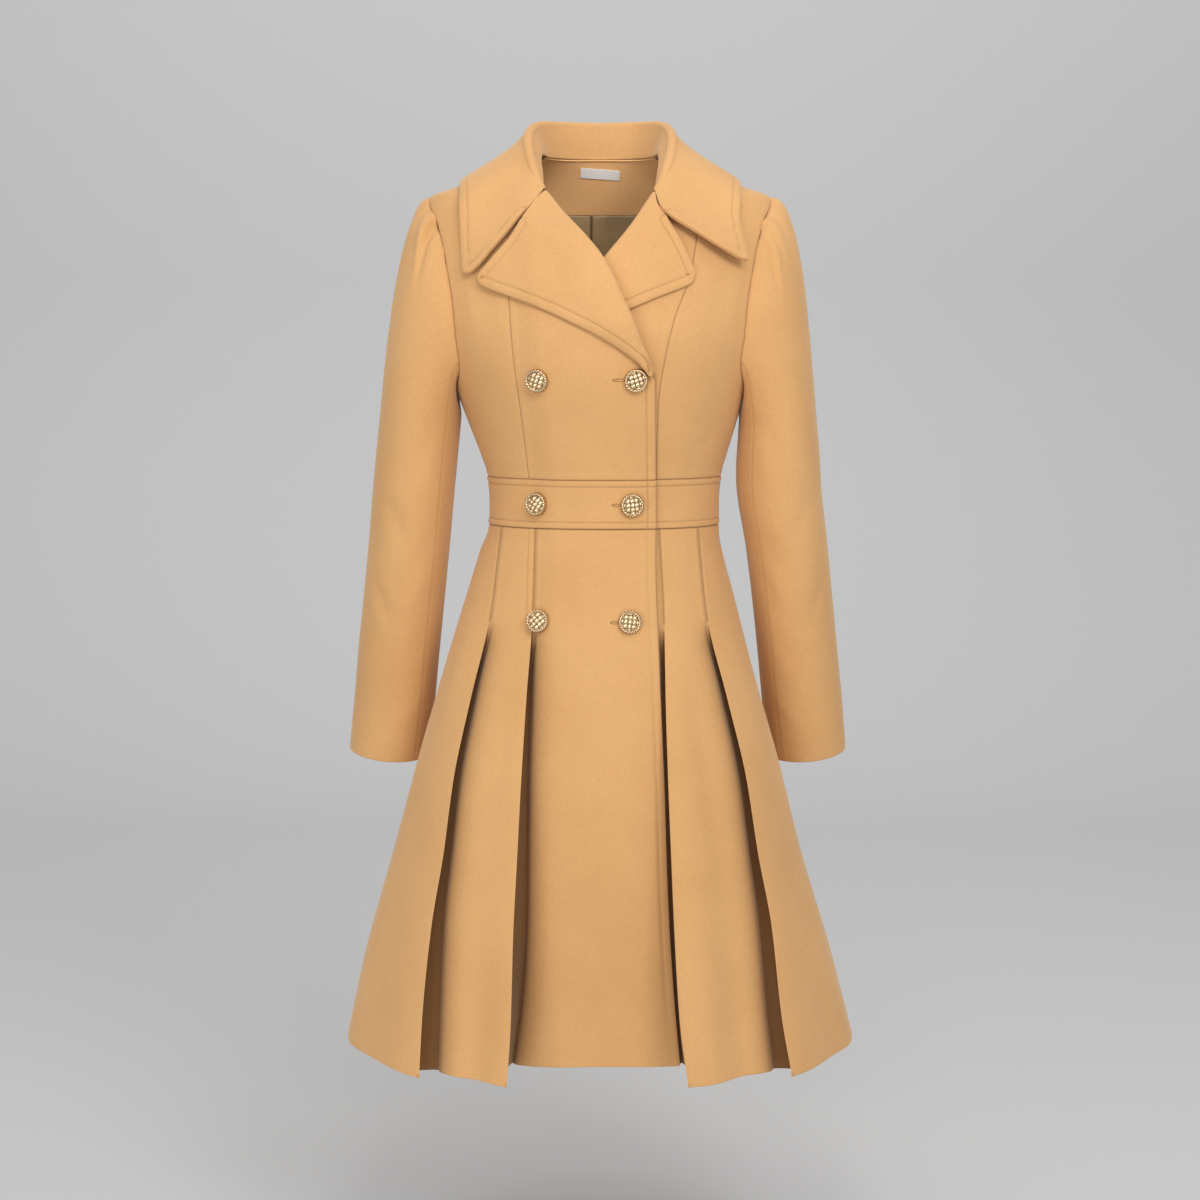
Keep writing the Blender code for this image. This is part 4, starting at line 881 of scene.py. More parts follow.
def bodice():
    top_rows = shoulder_heights(NECK_Z, WAIST_TOP)
    edge_line = on_front(front_edge(np.linspace(-0.2100, WAIST_TOP, 60)), np.linspace(-0.2100, WAIST_TOP, 60),
                         lift_right(front_edge(np.linspace(-0.2100, WAIST_TOP, 60)),
                                    np.linspace(-0.2100, WAIST_TOP, 60)) + CLOTH)

    grid = panel_grid(top_rows, lambda z: deg_at(princess_right(z), z), inner_right, lift_right, 62, SEAM_NEAR,
                      EDGE_NEAR)
    sheet("front_right_centre_cloth", grid, camel, ["front_right_centre"],
          sides=dict(left="seam", bottom="seam", right="free"),
          lines=[(edge_line, stitched_profile, lambda d: 0.22 * dark_line(d - STITCH, 0.0007))],
          creases=BODICE_CREASES)

    grid = panel_grid(top_rows, inner_left, lambda z: deg_at(princess_left(z), z), no_lift, 56)
    sheet("front_left_centre_cloth", grid, camel, ["front_left_centre"],
          sides=dict(right="seam", bottom="seam"), creases=BODICE_CREASES,
          extra_shade=edge_shadow)

    side_rows = shoulder_heights(0.0042, WAIST_TOP)

    ring_deg, ring_z = armhole_curve(1792)

    def arm_f(z):
        return float(np.interp(z, ring_z[896::-1], ring_deg[896::-1])) if -0.2225 < z < -0.0255 else 90.0

    def arm_b(z):
        return float(np.interp(z, ring_z[896:], ring_deg[896:])) if -0.2225 < z < -0.0255 else 90.0

    grid = panel_grid(side_rows, lambda z: -arm_f(z), lambda z: deg_at(princess_right(z), z), lift_right, 38)
    sheet("front_right_side_cloth", grid, camel, ["front_right_side"],
          sides=dict(left="seam", right="seam", bottom="seam"), creases=BODICE_CREASES)
    grid = panel_grid(side_rows, lambda z: deg_at(princess_left(z), z), arm_f, no_lift, 44)
    sheet("front_left_side_cloth", grid, camel, ["front_left_side"],
          sides=dict(left="seam", right="seam", bottom="seam"), creases=BODICE_CREASES)

    def back_seam(z):
        return 180.0 - (48.0 - 16.0 * step((NECK_Z - z) / (NECK_Z - WAIST_TOP)))

    grid = panel_grid(top_rows, back_seam, lambda z: 360.0 - back_seam(z), no_lift, 48)
    sheet("back_centre_cloth", grid, camel, ["back_centre"],
          sides=dict(left="seam", right="seam", bottom="seam"), creases=BACK_CREASES)
    grid = panel_grid(top_rows, arm_b, back_seam, no_lift, 34)
    sheet("back_side_left_cloth", grid, camel, ["back_side_left"],
          sides=dict(left="seam", right="seam", bottom="seam"), creases=BACK_CREASES)
    grid = panel_grid(top_rows, lambda z: 360.0 - back_seam(z), lambda z: 360.0 - arm_b(z), no_lift, 34)
    sheet("back_side_right_cloth", grid, camel, ["back_side_right"],
          sides=dict(left="seam", right="seam", bottom="seam"), creases=BACK_CREASES)

    # the facing and lining inside the neck
    inside = -0.0014
    zs = np.linspace(NECK_Z - SEAM, -0.0350, 46)
    rows = []
    for z in zs:
        half = 180.0 - back_seam(z) + 20.0
        deg = np.linspace(180.0 - half, 180.0 + half, 110)
        rows.append(skin(deg, z, np.full(110, inside - 0.0016)))
    into = rows[0] * np.array([-1.0, -1.0, 0.0]) + np.array([0.0, 0.01, 0.0])
    ledge = [rows[0] + unit(into) * (0.0026 * q) + np.array([0.0, 0.0, 0.0014]) * q ** 0.6 for q in (1.0, 0.75, 0.5, 0.25)]
    rows = ledge + rows
    sheet("back_neck_facing_cloth", rows, facing_wool_painted_light, ["back_neck_facing"],
          facing=lambda p: -out_of_body(p), sides=dict(bottom="free"), thick=0.0014,
          depth=0.004,
          creases=[((-0.045, 0.05, 0.012), (-0.052, 0.062, -0.030), 0.008, 0.0012),
                   ((0.046, 0.05, 0.010), (0.055, 0.060, -0.034), 0.009, 0.0014)])
    zs = np.linspace(-0.0350 - SEAM, WAIST_TOP + 0.006, 120)
    rows = []
    for z in zs:
        half = 180.0 - back_seam(z) - 0.6
        deg = np.concatenate([np.linspace(180.0 - half, 175.2, 50), [175.6, 175.9, 176.2, 176.5, 177.0],
                              np.linspace(178.0, 184.5, 10), [185.0, 185.3, 185.6, 186.0, 186.5],
                              np.linspace(187.5, 180.0 + half, 50)])
        x = x_of(deg, z)
        fold = 0.0026 * step((x + 0.0088) / 0.0010) * step((0.009 - x) / 0.016)
        rows.append(skin(deg, z, inside - 0.0010 - fold))
    laid = np.array(rows)
    # painted shade: a near-black line along the edge of the lining's pleat, with a shallow groove
    pleat_edge_line = laid[np.arange(len(zs)), np.argmin(np.abs(laid[:, :, 0] + 0.0090), axis=1)][:42]
    sheet("back_lining_cloth", laid, lining, ["back_lining"],
          facing=lambda p: -out_of_body(p), thick=0.0006, depth=0.002,
          lines=[(pleat_edge_line, lambda d: -0.0004 * np.exp(-(d / 0.001) ** 2), lambda d: 0.95 * dark_line(d, 0.0012))],
          creases=[((-0.030, 0.085, -0.045), (-0.036, 0.096, -0.150), 0.006, 0.0020),
                   ((0.030, 0.085, -0.040), (0.040, 0.094, -0.140), 0.007, 0.0024),
                   ((0.016, 0.088, -0.060), (0.020, 0.098, -0.170), 0.006, 0.0014),
                   ((-0.055, 0.075, -0.050), (-0.060, 0.085, -0.160), 0.007, 0.0018)])

    # the label, bare, lies on the facing turned a little
    tilt = math.radians(4.0)
    rows = []
    for v in np.linspace(0.5, -0.5, 10) * 0.0100:
        u = np.linspace(-0.5, 0.5, 34) * 0.0430
        x, z = u * math.cos(tilt) + v * math.sin(tilt), 0.0078 + v * math.cos(tilt) - u * math.sin(tilt)
        deg = 180.0 - np.degrees(np.arcsin(x / half_width(z)))
        rows.append(skin(deg, z, np.full(34, inside - 0.0016 - 0.0005 - 0.0008)))
    ends = np.array(rows)
    sheet("label_tape", rows, white, ["label"], facing=lambda p: -out_of_body(p),
          sides=dict(top="free", bottom="free", left="free", right="free"), thick=0.0007, depth=0.0005,
          lines=[(ends[:, 2], lambda d: -0.00025 * np.exp(-(d / 0.0004) ** 2), None),
                 (ends[:, -3], lambda d: -0.00025 * np.exp(-(d / 0.0004) ** 2), None)])


# ---------------------------------------------------------------- waistband
def waistband():
    zs = heights(WAIST_TOP - SEAM / 2, WAIST_BOTTOM + SEAM / 2, 0.0020, BAND_NEAR, BAND_NEAR)
    thick = CLOTH + 0.0006
    grid = panel_grid(zs, lambda z: -90.0, lambda z: deg_at(front_edge(z), z), lift_right, 110, SEAM_NEAR, EDGE_NEAR,
                      thick)
    sheet("waistband_right_cloth", grid, camel, ["waistband_right"],
          sides=dict(top="band", bottom="band", left="seam", right="stitched"),
          thick=thick)
    grid = panel_grid(zs, lambda z: deg_at(-0.0420, z), lambda z: 90.0, no_lift, 90, thick=thick)
    sheet("waistband_left_cloth", grid, camel, ["waistband_left"],
          sides=dict(top="band", bottom="band", right="seam"), thick=thick,
          extra_shade=edge_shadow)
    grid = panel_grid(zs, lambda z: 90.0, lambda z: 270.0, no_lift, 120, thick=thick)
    sheet("waistband_back_cloth", grid, camel, ["waistband_back"],
          sides=dict(top="band", bottom="band", left="seam", right="seam"),
          thick=thick)


# -------------------------------------------------------------------- skirt
def plan_path(side, z):
    """One row of the skirt front, from the side seam to the free edge, as corners and legs."""
    table = FOLD_CURVES[side]
    f1, o1, v1, ov, f2, o2, v2 = [float(c(z)) for c in table]
    open_ = step((PLEAT_TOP - z) / 0.065)
    legs = []

    def leg(deg, out, lift=0.0):
        p = skin(deg, z, np.broadcast_to(CLOTH + lift, deg.shape))
        p[:, 1] -= out
        legs.append(p)

    s = np.linspace(0, 1, 50)
    wave = SIDE_WAVE[side](s, z)
    leg(side * 90.0 + (deg_at(f1, z) - side * 90.0) * s, o1 * s ** 1.2 + wave)
    s = np.linspace(0, 1, 44)
    wave = MIDDLE_WAVE[side](s, z)
    leg(deg_at(v1, z) + (deg_at(f2, z) - deg_at(v1, z)) * s, ov + (o2 - ov) * s + wave)
    s = np.linspace(0, 1, 70)
    if side < 0:
        deg = deg_at(v2, z) + (deg_at(front_edge(z), z) - deg_at(v2, z)) * s
        lift = OVERLAP * step((x_of(deg, z) - v2 + 0.008) / RAMP)
        leg(deg, CENTRE_WAVE(s, z), lift)
    else:
        deg = deg_at(v2, z) + (deg_at(-0.0330, z) - deg_at(v2, z)) * s
        leg(deg, 0.0 * s)
    return legs, open_


FOLD_CURVES = {-1: [column(FOLDS_RIGHT, 0, k) for k in range(1, 8)],
               1: [column(FOLDS_LEFT, 0, k) for k in range(1, 8)]}


def depth_at(z):
    """0 where the pleats are sewn down, 1 at the hem."""
    return np.clip((PLEAT_TOP - z) / (PLEAT_TOP - HEM_Z), 0, 1)


SIDE_WAVE = {
    -1: lambda s, z: depth_at(z) ** 1.3 * (0.0060 * np.sin(np.pi * s) * np.sin(2 * np.pi * s * 1.1 + 0.6)),
    1: lambda s, z: depth_at(z) ** 1.3 * (0.0065 * np.sin(np.pi * s) * np.sin(2 * np.pi * s * 1.2 + 0.2)),
}
MIDDLE_WAVE = {
    -1: lambda s, z: depth_at(z) ** 1.2 * (0.0040 * np.sin(np.pi * s) * np.sin(2 * np.pi * s + 0.9)),
    1: lambda s, z: depth_at(z) ** 1.2 * (0.0055 * np.sin(np.pi * s) * np.sin(2 * np.pi * s * 1.1 + 2.4)),
}


def CENTRE_WAVE(s, z):
    return depth_at(z) ** 1.2 * 0.0022 * np.sin(np.pi * s) * np.sin(2 * np.pi * s * 1.2 + 0.5)


def rounded(path, radius):
    """The path with its corners rounded, and points close together there."""
    path = [np.asarray(p, float) for p in path]
    result = []
    for i, p in enumerate(path):
        if 0 < i < len(path) - 1:
            a, b = path[i - 1], path[i + 1]
            ra = min(radius, 0.45 * np.linalg.norm(a - p))
            rb = min(radius, 0.45 * np.linalg.norm(b - p))
            start, end = p + unit(a - p) * ra, p + unit(b - p) * rb
            for t in np.linspace(0, 1, 7):
                result.append((1 - t) ** 2 * start + 2 * t * (1 - t) * p + t * t * end)
        else:
            result.append(p)
    return result


def fold_between(first, second, side, open_, radius, thick):
    """The cloth under a pleat: from one panel's fold back under it and out to the next panel."""
    f, v = first[-1], second[0]
    back = unit(first[-2] - f)
    inward = unit(second[1] - v)
    gap = np.linalg.norm(v - f)
    reach = 0.0130 * open_
    deep = np.array([0.0, 0.0100 * open_, 0.0])
    # folded under the first panel
    u = f + back * reach + deep * 1.6
    w = v + deep * 0.9 + back * 0.002 * open_
    return [f, u, w, v]


def skirt_front(side):
    word = "right" if side < 0 else "left"
    zs = heights(WAIST_BOTTOM - SEAM / 2, HEM_Z, 0.0034, SEAM_NEAR, (0.0, 0.0006, 0.0014, 0.0026, 0.0045))
    grid, marks = [], []
    for z in zs:
        (a, b, c), open_ = plan_path(side, z)
        radius = 0.0006 + 0.0022 * open_
        row = []
        k = []
        first = a[:-1] if open_ > 0 else a[:-1]
        f1 = fold_between(a, b, side, open_, radius, CLOTH)
        f2 = fold_between(b, c, side, open_, radius, CLOTH)
        path1 = rounded([a[-2]] + f1 + [b[1]], radius)[1:-1]
        path2 = rounded([b[-2]] + f2 + [c[1]], radius)[1:-1]
        row = list(a[:-1]) + path1 + list(b[1:-1]) + path2 + list(c[1:])
        k = (len(a) - 1, len(path1), len(b) - 2, len(path2), len(c) - 1)
        grid.append(row)
        marks.append(k)
    grid = np.array(grid)
    n1, p1, n2, p2, n3 = marks[0]
    i1, i2 = n1 + 3, n1 + p1 + n2 + 3
    sewn = zs > PLEAT_TOP - 0.004
    # the next panel comes out of the slot in a soft turn
    soft = step((PLEAT_TOP - zs) / 0.10)[:, None, None]
    for at in (n1, n1 + p1 + n2):
        a0, a1 = at + 12, at + p1 + 9
        for _ in range(14):
            even = 0.5 * grid[:, a0:a1] + 0.25 * (grid[:, a0 - 1:a1 - 1] + grid[:, a0 + 1:a1 + 1])
            grid[:, a0:a1] += (even - grid[:, a0:a1]) * soft
    lines = []
    for at in (i1, i2):
        lines.append((grid[sewn, at], seam_profile, lambda d: 0.45 * dark_line(d, 0.0010)))
    # a second line of stitching beside the inner fold
    zz = zs[sewn]
    x2 = FOLD_CURVES[side][4](zz) + side * 0.0068
    if side < 0:
        lines.append((on_front(x2, zz, np.full(len(zz), CLOTH)),
                      lambda d: -0.0005 * np.exp(-(d / 0.0009) ** 2), lambda d: 0.18 * dark_line(d, 0.0008)))
        edge_z = zs
        edge = grid[:, -1]
        lines.append((edge, stitched_profile, lambda d: 0.22 * dark_line(d - STITCH, 0.0007)))
    # the pleats' slots are deep and take little light
    slot_shade = np.zeros(grid.shape[:2])
    opened = step((PLEAT_TOP + 0.004 - zs) / 0.035)[:, None]
    for at, after in ((n1, n2), (n1 + p1 + n2, n3)):
        k = np.arange(p1)
        slot_shade[:, at:at + p1] = np.interp(k, [0, 3, 6, 10, 17, 27], [0, 0.0, 0.25, 0.82, 0.82, 0.52])[None] * opened
        rest = grid[:, at + p1:at + p1 + after]
        gone = np.linalg.norm(rest - grid[:, at + p1 - 1:at + p1], axis=-1)
        slot_shade[:, at + p1:at + p1 + after] = np.maximum(slot_shade[:, at + p1:at + p1 + after],
                                                            0.52 * np.exp(-gone / 0.0085) * opened)
    if side > 0:
        slot_shade = np.maximum(slot_shade, edge_shadow(grid))
    sheet("skirt_front_%s_cloth" % word, grid, camel,
          ["skirt_%s_side" % word, "skirt_%s_middle" % word, "skirt_%s_centre" % word],
          sides=dict(top="seam", left="seam", bottom="hem", right="free"), lines=lines,
          depth=0.003, thick=0.0014,
          creases=SKIRT_CREASES[side], extra_shade=slot_shade)


SKIRT_CREASES = {
    -1: (((-0.135, -0.060, -0.440), (-0.175, -0.090, -0.700), 0.014, 0.0020),
         ((-0.088, -0.115, -0.500), (-0.105, -0.155, -0.800), 0.012, -0.0018),
         ((-0.020, -0.130, -0.520), (-0.028, -0.160, -0.860), 0.016, -0.0016),
         ((0.022, -0.130, -0.480), (0.032, -0.165, -0.780), 0.014, 0.0012)),
    1: (((0.135, -0.060, -0.450), (0.178, -0.090, -0.720), 0.014, 0.0020),
        ((0.092, -0.115, -0.500), (0.120, -0.155, -0.780), 0.012, -0.0018)),
}


def back_flute(deg, z):
    open_ = np.maximum(0.0, (PLEAT_TOP - z) / (PLEAT_TOP - HEM_Z))
    t = (np.abs(deg - 180.0)) / 90.0
    wave = np.sin(math.pi * t * 3.0 + 0.4) * np.sin(math.pi * np.minimum(1.0, t * 1.02)) ** 0.5
    return 0.010 * open_ ** 1.2 * (wave + 0.2) * (1.0 - step((t - 0.55) / 0.3))


def skirt_back():
    zs = heights(WAIST_BOTTOM - SEAM / 2, HEM_Z, 0.0042, SEAM_NEAR, (0.0, 0.0006, 0.0014, 0.0026, 0.0045))
    for word, lo, hi in (("left", 90.0, 180.0), ("right", 180.0, 270.0)):
        rows = []
        for z in zs:
            deg = np.linspace(lo, hi, 120)
            line = skin(deg, z, back_flute(deg, z) + CLOTH)
            run = arc_length(line)
            at = np.interp(spread(run[-1], SEAM_NEAR, SEAM_NEAR, 90), run, deg)
            rows.append(skin(at, z, back_flute(at, z) + CLOTH))
        s = 1.0 if word == "left" else -1.0
        sheet("skirt_back_%s_cloth" % word, rows, camel, ["skirt_back_" + word],
              sides=dict(top="seam", left="seam", right="seam", bottom="hem"),
              creases=[((s * 0.050, 0.120, -0.470), (s * 0.070, 0.175, -0.820), 0.018, 0.0030),
                       ((s * 0.095, 0.090, -0.480), (s * 0.150, 0.130, -0.860), 0.018, -0.0030),
                       ((s * 0.125, 0.050, -0.520), (s * 0.205, 0.070, -0.880), 0.016, 0.0026)])


# ------------------------------------------------------------------ sleeves
SLEEVE_CREASES = (
    # along the sleeve's ring and height: from, to, width, height
    ((0.150, -0.070, -0.235), (0.188, -0.058, -0.300), 0.010, -0.0026),
    ((0.152, -0.062, -0.262), (0.178, -0.055, -0.340), 0.009, 0.0022),
    ((0.226, -0.045, -0.330), (0.196, -0.048, -0.392), 0.010, -0.0020),
    ((0.163, -0.040, -0.372), (0.196, -0.044, -0.420), 0.009, -0.0024),
    ((0.166, -0.034, -0.404), (0.205, -0.036, -0.462), 0.009, 0.0024),
    ((0.244, -0.018, -0.410), (0.215, -0.028, -0.482), 0.009, -0.0018),
    ((0.172, -0.022, -0.470), (0.210, -0.022, -0.520), 0.009, -0.0018),
    ((0.178, 0.002, -0.540), (0.214, -0.006, -0.585), 0.009, 0.0012),
    ((0.170, 0.060, -0.290), (0.205, 0.068, -0.350), 0.011, 0.0024),
    ((0.175, 0.066, -0.370), (0.215, 0.074, -0.420), 0.010, -0.0026),
    ((0.180, 0.074, -0.440), (0.222, 0.080, -0.480), 0.010, 0.0022),
    ((0.190, 0.085, -0.520), (0.228, 0.090, -0.560), 0.010, -0.0016),
)


def sleeve_grid(table, trim, count=224):
    deg, z = armhole_curve(count)
    around = np.arange(count) * 360.0 / count
    start = skin(deg, z, np.full(count, 0.0008))
    centre = start.mean(0)
    axis = unit(np.array(SLEEVE_AXIS))
    u = unit(np.cross((0.0, 1.0, 0.0), -axis))
    if u[0] < 0:
        u = -u
    v = unit(np.cross(axis, u))
    if v[1] > 0:
        v = -v
    t = np.radians(around)
    nb = normal(deg, z)
    tangent = unit(np.roll(start, -1, 0) - np.roll(start, 1, 0))
    into = unit(np.cross(nb, tangent))
    into *= np.sign(np.sum(into * (centre - start), -1, keepdims=True))
    a = start + into * SEAM * 0.5
    # the rings below the armhole, as smooth functions of distance down the sleeve
    ring_table = np.array(table)
    run = arc_length(ring_table[:, :3])
    curves = [Smooth(run, ring_table[:, k]) for k in range(5)]

    def ring(q):
        c = np.array([curves[0](q), curves[1](q), curves[2](q)])
        return (c + u * (curves[3](q) * np.cos(t))[:, None] + v * (curves[4](q) * np.sin(t))[:, None])

    b = ring(0.0)
    t0 = unit(np.stack([np.ones(count), -0.55 * np.sin(t), 0.10 * np.cos(t)], -1))
    l0 = (np.maximum(0.005, 0.019 + 0.015 * np.cos(t)) - trim * np.maximum(0.0, np.cos(t)))[:, None]
    l1 = 0.55 * np.linalg.norm(b - a, axis=-1)[:, None]
    c1, c2 = a + t0 * l0, b - axis * l1
    parts = []
    s_values = np.concatenate([[0.0, 0.004, 0.010, 0.018, 0.030], np.linspace(0.045, 1.0, 84)]) ** 1.15
    for s in s_values:
        parts.append((1 - s) ** 3 * a + 3 * s * (1 - s) ** 2 * c1 + 3 * s * s * (1 - s) * c2 + s ** 3 * b)
    for q in np.concatenate([np.linspace(0, run[-1] - 0.004, 120)[1:], run[-1] - np.array([0.0026, 0.0014, 0.0006, 0.0])]):
        parts.append(ring(q))
    return np.array(parts), t


def sleeves():
    # gathers at the head, deepest just below the seam
    for side, word in ((1.0, "left"), (-1.0, "right")):
        flip = np.array([side, 1.0, 1.0])
        g, t = sleeve_grid(SLEEVE_LEFT, 0.0) if side > 0 else sleeve_grid(SLEEVE_RIGHT, 0.008)
        n = grid_normals(g, True, lambda p: p - p.mean(1, keepdims=True))
        down = np.array([arc_length(g[:, j]) for j in range(g.shape[1])]).T
        angle = np.degrees(t)
        centred = (angle + 180.0) % 360.0 - 180.0
        top = np.exp(-(centred / 62.0) ** 4)
        phase = 0.4 if side > 0 else 1.3
        gather = (0.55 * np.sin(np.radians(centred) * 15.0 + phase) + 0.45 * np.sin(np.radians(centred) * 25.0 + 2.1 * phase))
        window = np.exp(-((down - 0.010) / 0.018) ** 2)
        height = 0.0022 * gather * top * window
        # one deeper fold on the front of the head
        fold_at = 30.0 if side < 0 else 44.0
        deep = (0.0042 if side < 0 else 0.0022)
        drift = centred[None, :] - fold_at - 400.0 * down
        height = height - deep * np.exp(-(drift / 5.0) ** 2) * np.exp(-((down - 0.018) / 0.022) ** 2)
        height = height + 0.8 * deep * np.exp(-((drift + 9.0) / 6.0) ** 2) * np.exp(-((down - 0.018) / 0.024) ** 2)
        g = (g + n * height[..., None]) * flip
        creases = [((a[0] * side, a[1], a[2]), (b[0] * side, b[1], b[2]), w, h * (1.0 if side < 0 else 0.8))
                   for a, b, w, h in SLEEVE_CREASES]
        under_f, under_b = int(round(135.0 / 360 * g.shape[1])), int(round(225.0 / 360 * g.shape[1]))
        lines = [(g[:, k], lambda d: 0.45 * seam_profile(d), lambda d: 0.14 * dark_line(d, 0.0008))
                 for k in (under_f, under_b)]
        sheet("sleeve_%s_cloth" % word, g, camel, ["sleeve_%s_upper" % word, "sleeve_%s_under" % word],
              facing=lambda p: p - p.mean(1, keepdims=True), ring=True, sides=dict(top="seam", bottom="hem"),
              creases=creases, lines=lines, depth=0.014)


# -------------------------------------------------------- collar and lapels
def lapel(side):
    word = "right" if side < 0 else "left"
    line = roll_line if side < 0 else roll_under
    radius = ROLL_R if side < 0 else UNDER_R
    lift = lift_right if side < 0 else no_lift
    z0 = -0.0262 if side < 0 else -0.0262
    z1 = -0.2060 if side < 0 else -0.1180
    roll_z = np.linspace(z0, z1, 200)
    roll = np.stack([line(roll_z), roll_z], -1)
    tangent = unit(np.gradient(roll, axis=0))
    away = np.stack([tangent[:, 1], -tangent[:, 0]], -1)
    away *= np.sign(away[:, :1]) * side
    root = roll + away * (radius + CLOTH / 2)
    top_table = LAPEL_TOP_RIGHT if side < 0 else LAPEL_TOP_LEFT
    outer_table = LAPEL_OUTER_RIGHT if side < 0 else LAPEL_OUTER_LEFT
    top_line = catmull_line(np.concatenate([[root[0]], np.array(top_table)]), 12)
    outer_line = catmull_line(np.array(outer_table), 12)
    rows_s = np.concatenate([[0, 0.002, 0.005, 0.009, 0.015], np.linspace(0.022, 1.0, 170)])
    cols_t = np.concatenate([np.linspace(0, 0.93, 78), [0.945, 0.958, 0.970, 0.980, 0.988, 0.994, 1.0]])
    left = along_line(root, rows_s)
    right = along_line(outer_line, rows_s)
    top = along_line(top_line, cols_t)
    bottom = along_line(np.array([root[-1], outer_line[-1]]), cols_t)
    s, t = rows_s[:, None, None], cols_t[None, :, None]
    flat = ((1 - t) * left[:, None] + t * right[:, None] + (1 - s) * top[None] + s * bottom[None]
            - ((1 - s) * (1 - t) * left[0] + (1 - s) * t * right[0] + s * (1 - t) * left[-1] + s * t * right[-1]))
    flat = round_corner(flat, 0.0095 if side < 0 else 0.0090)
    thick = CLOTH + 0.0004
    first = 2 * radius - CLOTH
    gap = 0.0018 if side < 0 else 0.0012
    tt = cols_t[None, :]
    ss = rows_s[:, None]
    height = (0.0040 * (1 - 0.8 * ss) if side < 0 else 0.0014 * (1 - ss)) * np.sin(math.pi * tt)
    high = first + (gap - first) * tt ** 0.8 + height
    if side < 0:
        # the corner stands off the front a little
        high = high + 0.0030 * step((tt - 0.5) / 0.5) * (1 - step(ss / 0.45))
    out = lift(flat[..., 0], flat[..., 1]) + CLOTH + high + thick
    body = on_front(flat[..., 0], flat[..., 1], out)
    # the roll itself, from under the front round to the lapel's face
    angles = np.radians(np.linspace(20.0, 172.0, 12))
    roll_rows = along_line(roll, rows_s)
    away_rows = along_line(away, rows_s)
    rolls = []
    base_lift = lift(left[:, 0], left[:, 1])
    centre = left
    for a in angles:
        r_out = radius + thick / 2
        x = centre[:, 0] - away_rows[:, 0] * math.sin(a) * r_out
        z = centre[:, 1] - away_rows[:, 1] * math.sin(a) * r_out
        rolls.append(on_front(x, z, base_lift + CLOTH / 2 + radius - math.cos(a) * r_out))
    grid = np.concatenate([np.stack(rolls, 1), body], 1)
    sheet("lapel_%s_cloth" % word, grid, camel, ["lapel_" + word], facing=(0.0, -1.0, 0.25),
          sides=dict(right="free", top="plain", bottom="plain"),
          lines=[(np.concatenate([grid[0, 44 if side < 0 else 40:], grid[1:, -1]]), stitched_profile,
                  lambda d: 0.22 * dark_line(d - STITCH, 0.0007))],
          thick=thick, depth=0.008)


def round_corner(flat, radius, row=0, col=-1):
    """Rounds the corner of a grid between its given end row and end column."""
    g = flat.copy()
    if row == -1:
        g = g[::-1]
    if col == -1:
        g = g[:, ::-1]
    along_row = np.concatenate([np.zeros((g.shape[0], 1)),
                                np.cumsum(np.linalg.norm(np.diff(g, axis=1), axis=-1), axis=1)], 1)
    along_col = np.concatenate([np.zeros((1, g.shape[1])),
                                np.cumsum(np.linalg.norm(np.diff(g, axis=0), axis=-1), axis=0)], 0)
    x1, x2 = np.minimum(along_row, radius), np.minimum(along_col, radius)
    q1, q2 = 1 - x1 / radius, 1 - x2 / radius
    m1, m2 = q1 * np.sqrt(1 - q2 * q2 / 2), q2 * np.sqrt(1 - q1 * q1 / 2)
    k1 = int(np.searchsorted(along_row[0], radius))
    k2 = int(np.searchsorted(along_col[:, 0], radius))
    e1 = unit(g[0, k1] - g[0, 0])
    e2 = unit(g[k2, 0] - g[0, 0])
    move = ((q1 - m1) * radius)[..., None] * e1 + ((q2 - m2) * radius)[..., None] * e2
    g = g + move
    if col == -1:
        g = g[:, ::-1]
    if row == -1:
        g = g[::-1]
    return g


def neck_point(deg, z):
    if deg:
        along = base(deg + 0.5, z) - base(deg - 0.5, z)
    else:
        deg = float(deg_at(neckline(z), z))
        lo, hi = z - 0.001, z + 0.001
        along = base(deg_at(neckline(hi), hi), hi) - base(deg_at(neckline(lo), lo), lo)
    n = normal(deg, z)
    into = unit(np.cross(n, along))
    if np.dot(into, np.array([0.0, 0.01, 0.06]) - base(deg, z)) < 0:
        into = -into
    return skin(deg, z, CLOTH / 2) + into * 0.0038


FALL = 60
COLLAR_MARKS = 13


def collar_station(row, mirror):
    """One station of the collar's middle: stand, roll and fall, at fixed marks."""
    ndeg, nz, rx, ry, rz, deg, ez, out = row
    neck, roll = neck_point(ndeg, nz), np.array([rx, ry, rz])
    away = unit(np.array([rx, ry, 0.0]) + np.array([1e-9, 0, 0]))
    r = 0.0040
    up = np.array([0, 0, 1.0])
    stand_top = roll - up * r
    fall_top = roll + away * 2 * r - up * r
    edge = skin(deg, ez, out + CLOTH / 2)
    n = normal(deg, ez)
    down = unit(edge - fall_top)
    length = np.linalg.norm(edge - fall_top)
    c1 = fall_top + unit(away * 0.35 - up) * length * 0.25 + n * 0.004
    c2 = edge - unit(down - n * 0.5 * float(np.dot(down, n))) * length * 0.3 + n * 0.004
    tuck = neck - up * 0.0022 - normal(ndeg if ndeg else float(deg_at(neckline(nz), nz)), nz) * 0.0010
    points = [tuck + (neck - tuck) * s for s in (0.0, 0.4, 0.8)]
    points += [neck + (stand_top - neck) * s for s in np.linspace(0, 1, 9)[:-1]]
    for a in np.radians(np.linspace(0, 180, 13)):
        points.append(stand_top + away * r * (1 - math.cos(a)) + up * r * math.sin(a))
    s = np.linspace(0, 1, FALL + 1)[1:, None]
    fall = (1 - s) ** 3 * fall_top + 3 * s * (1 - s) ** 2 * c1 + 3 * s * s * (1 - s) * c2 + s ** 3 * edge
    return np.concatenate([np.array(points), fall]) * np.array([mirror, 1, 1])


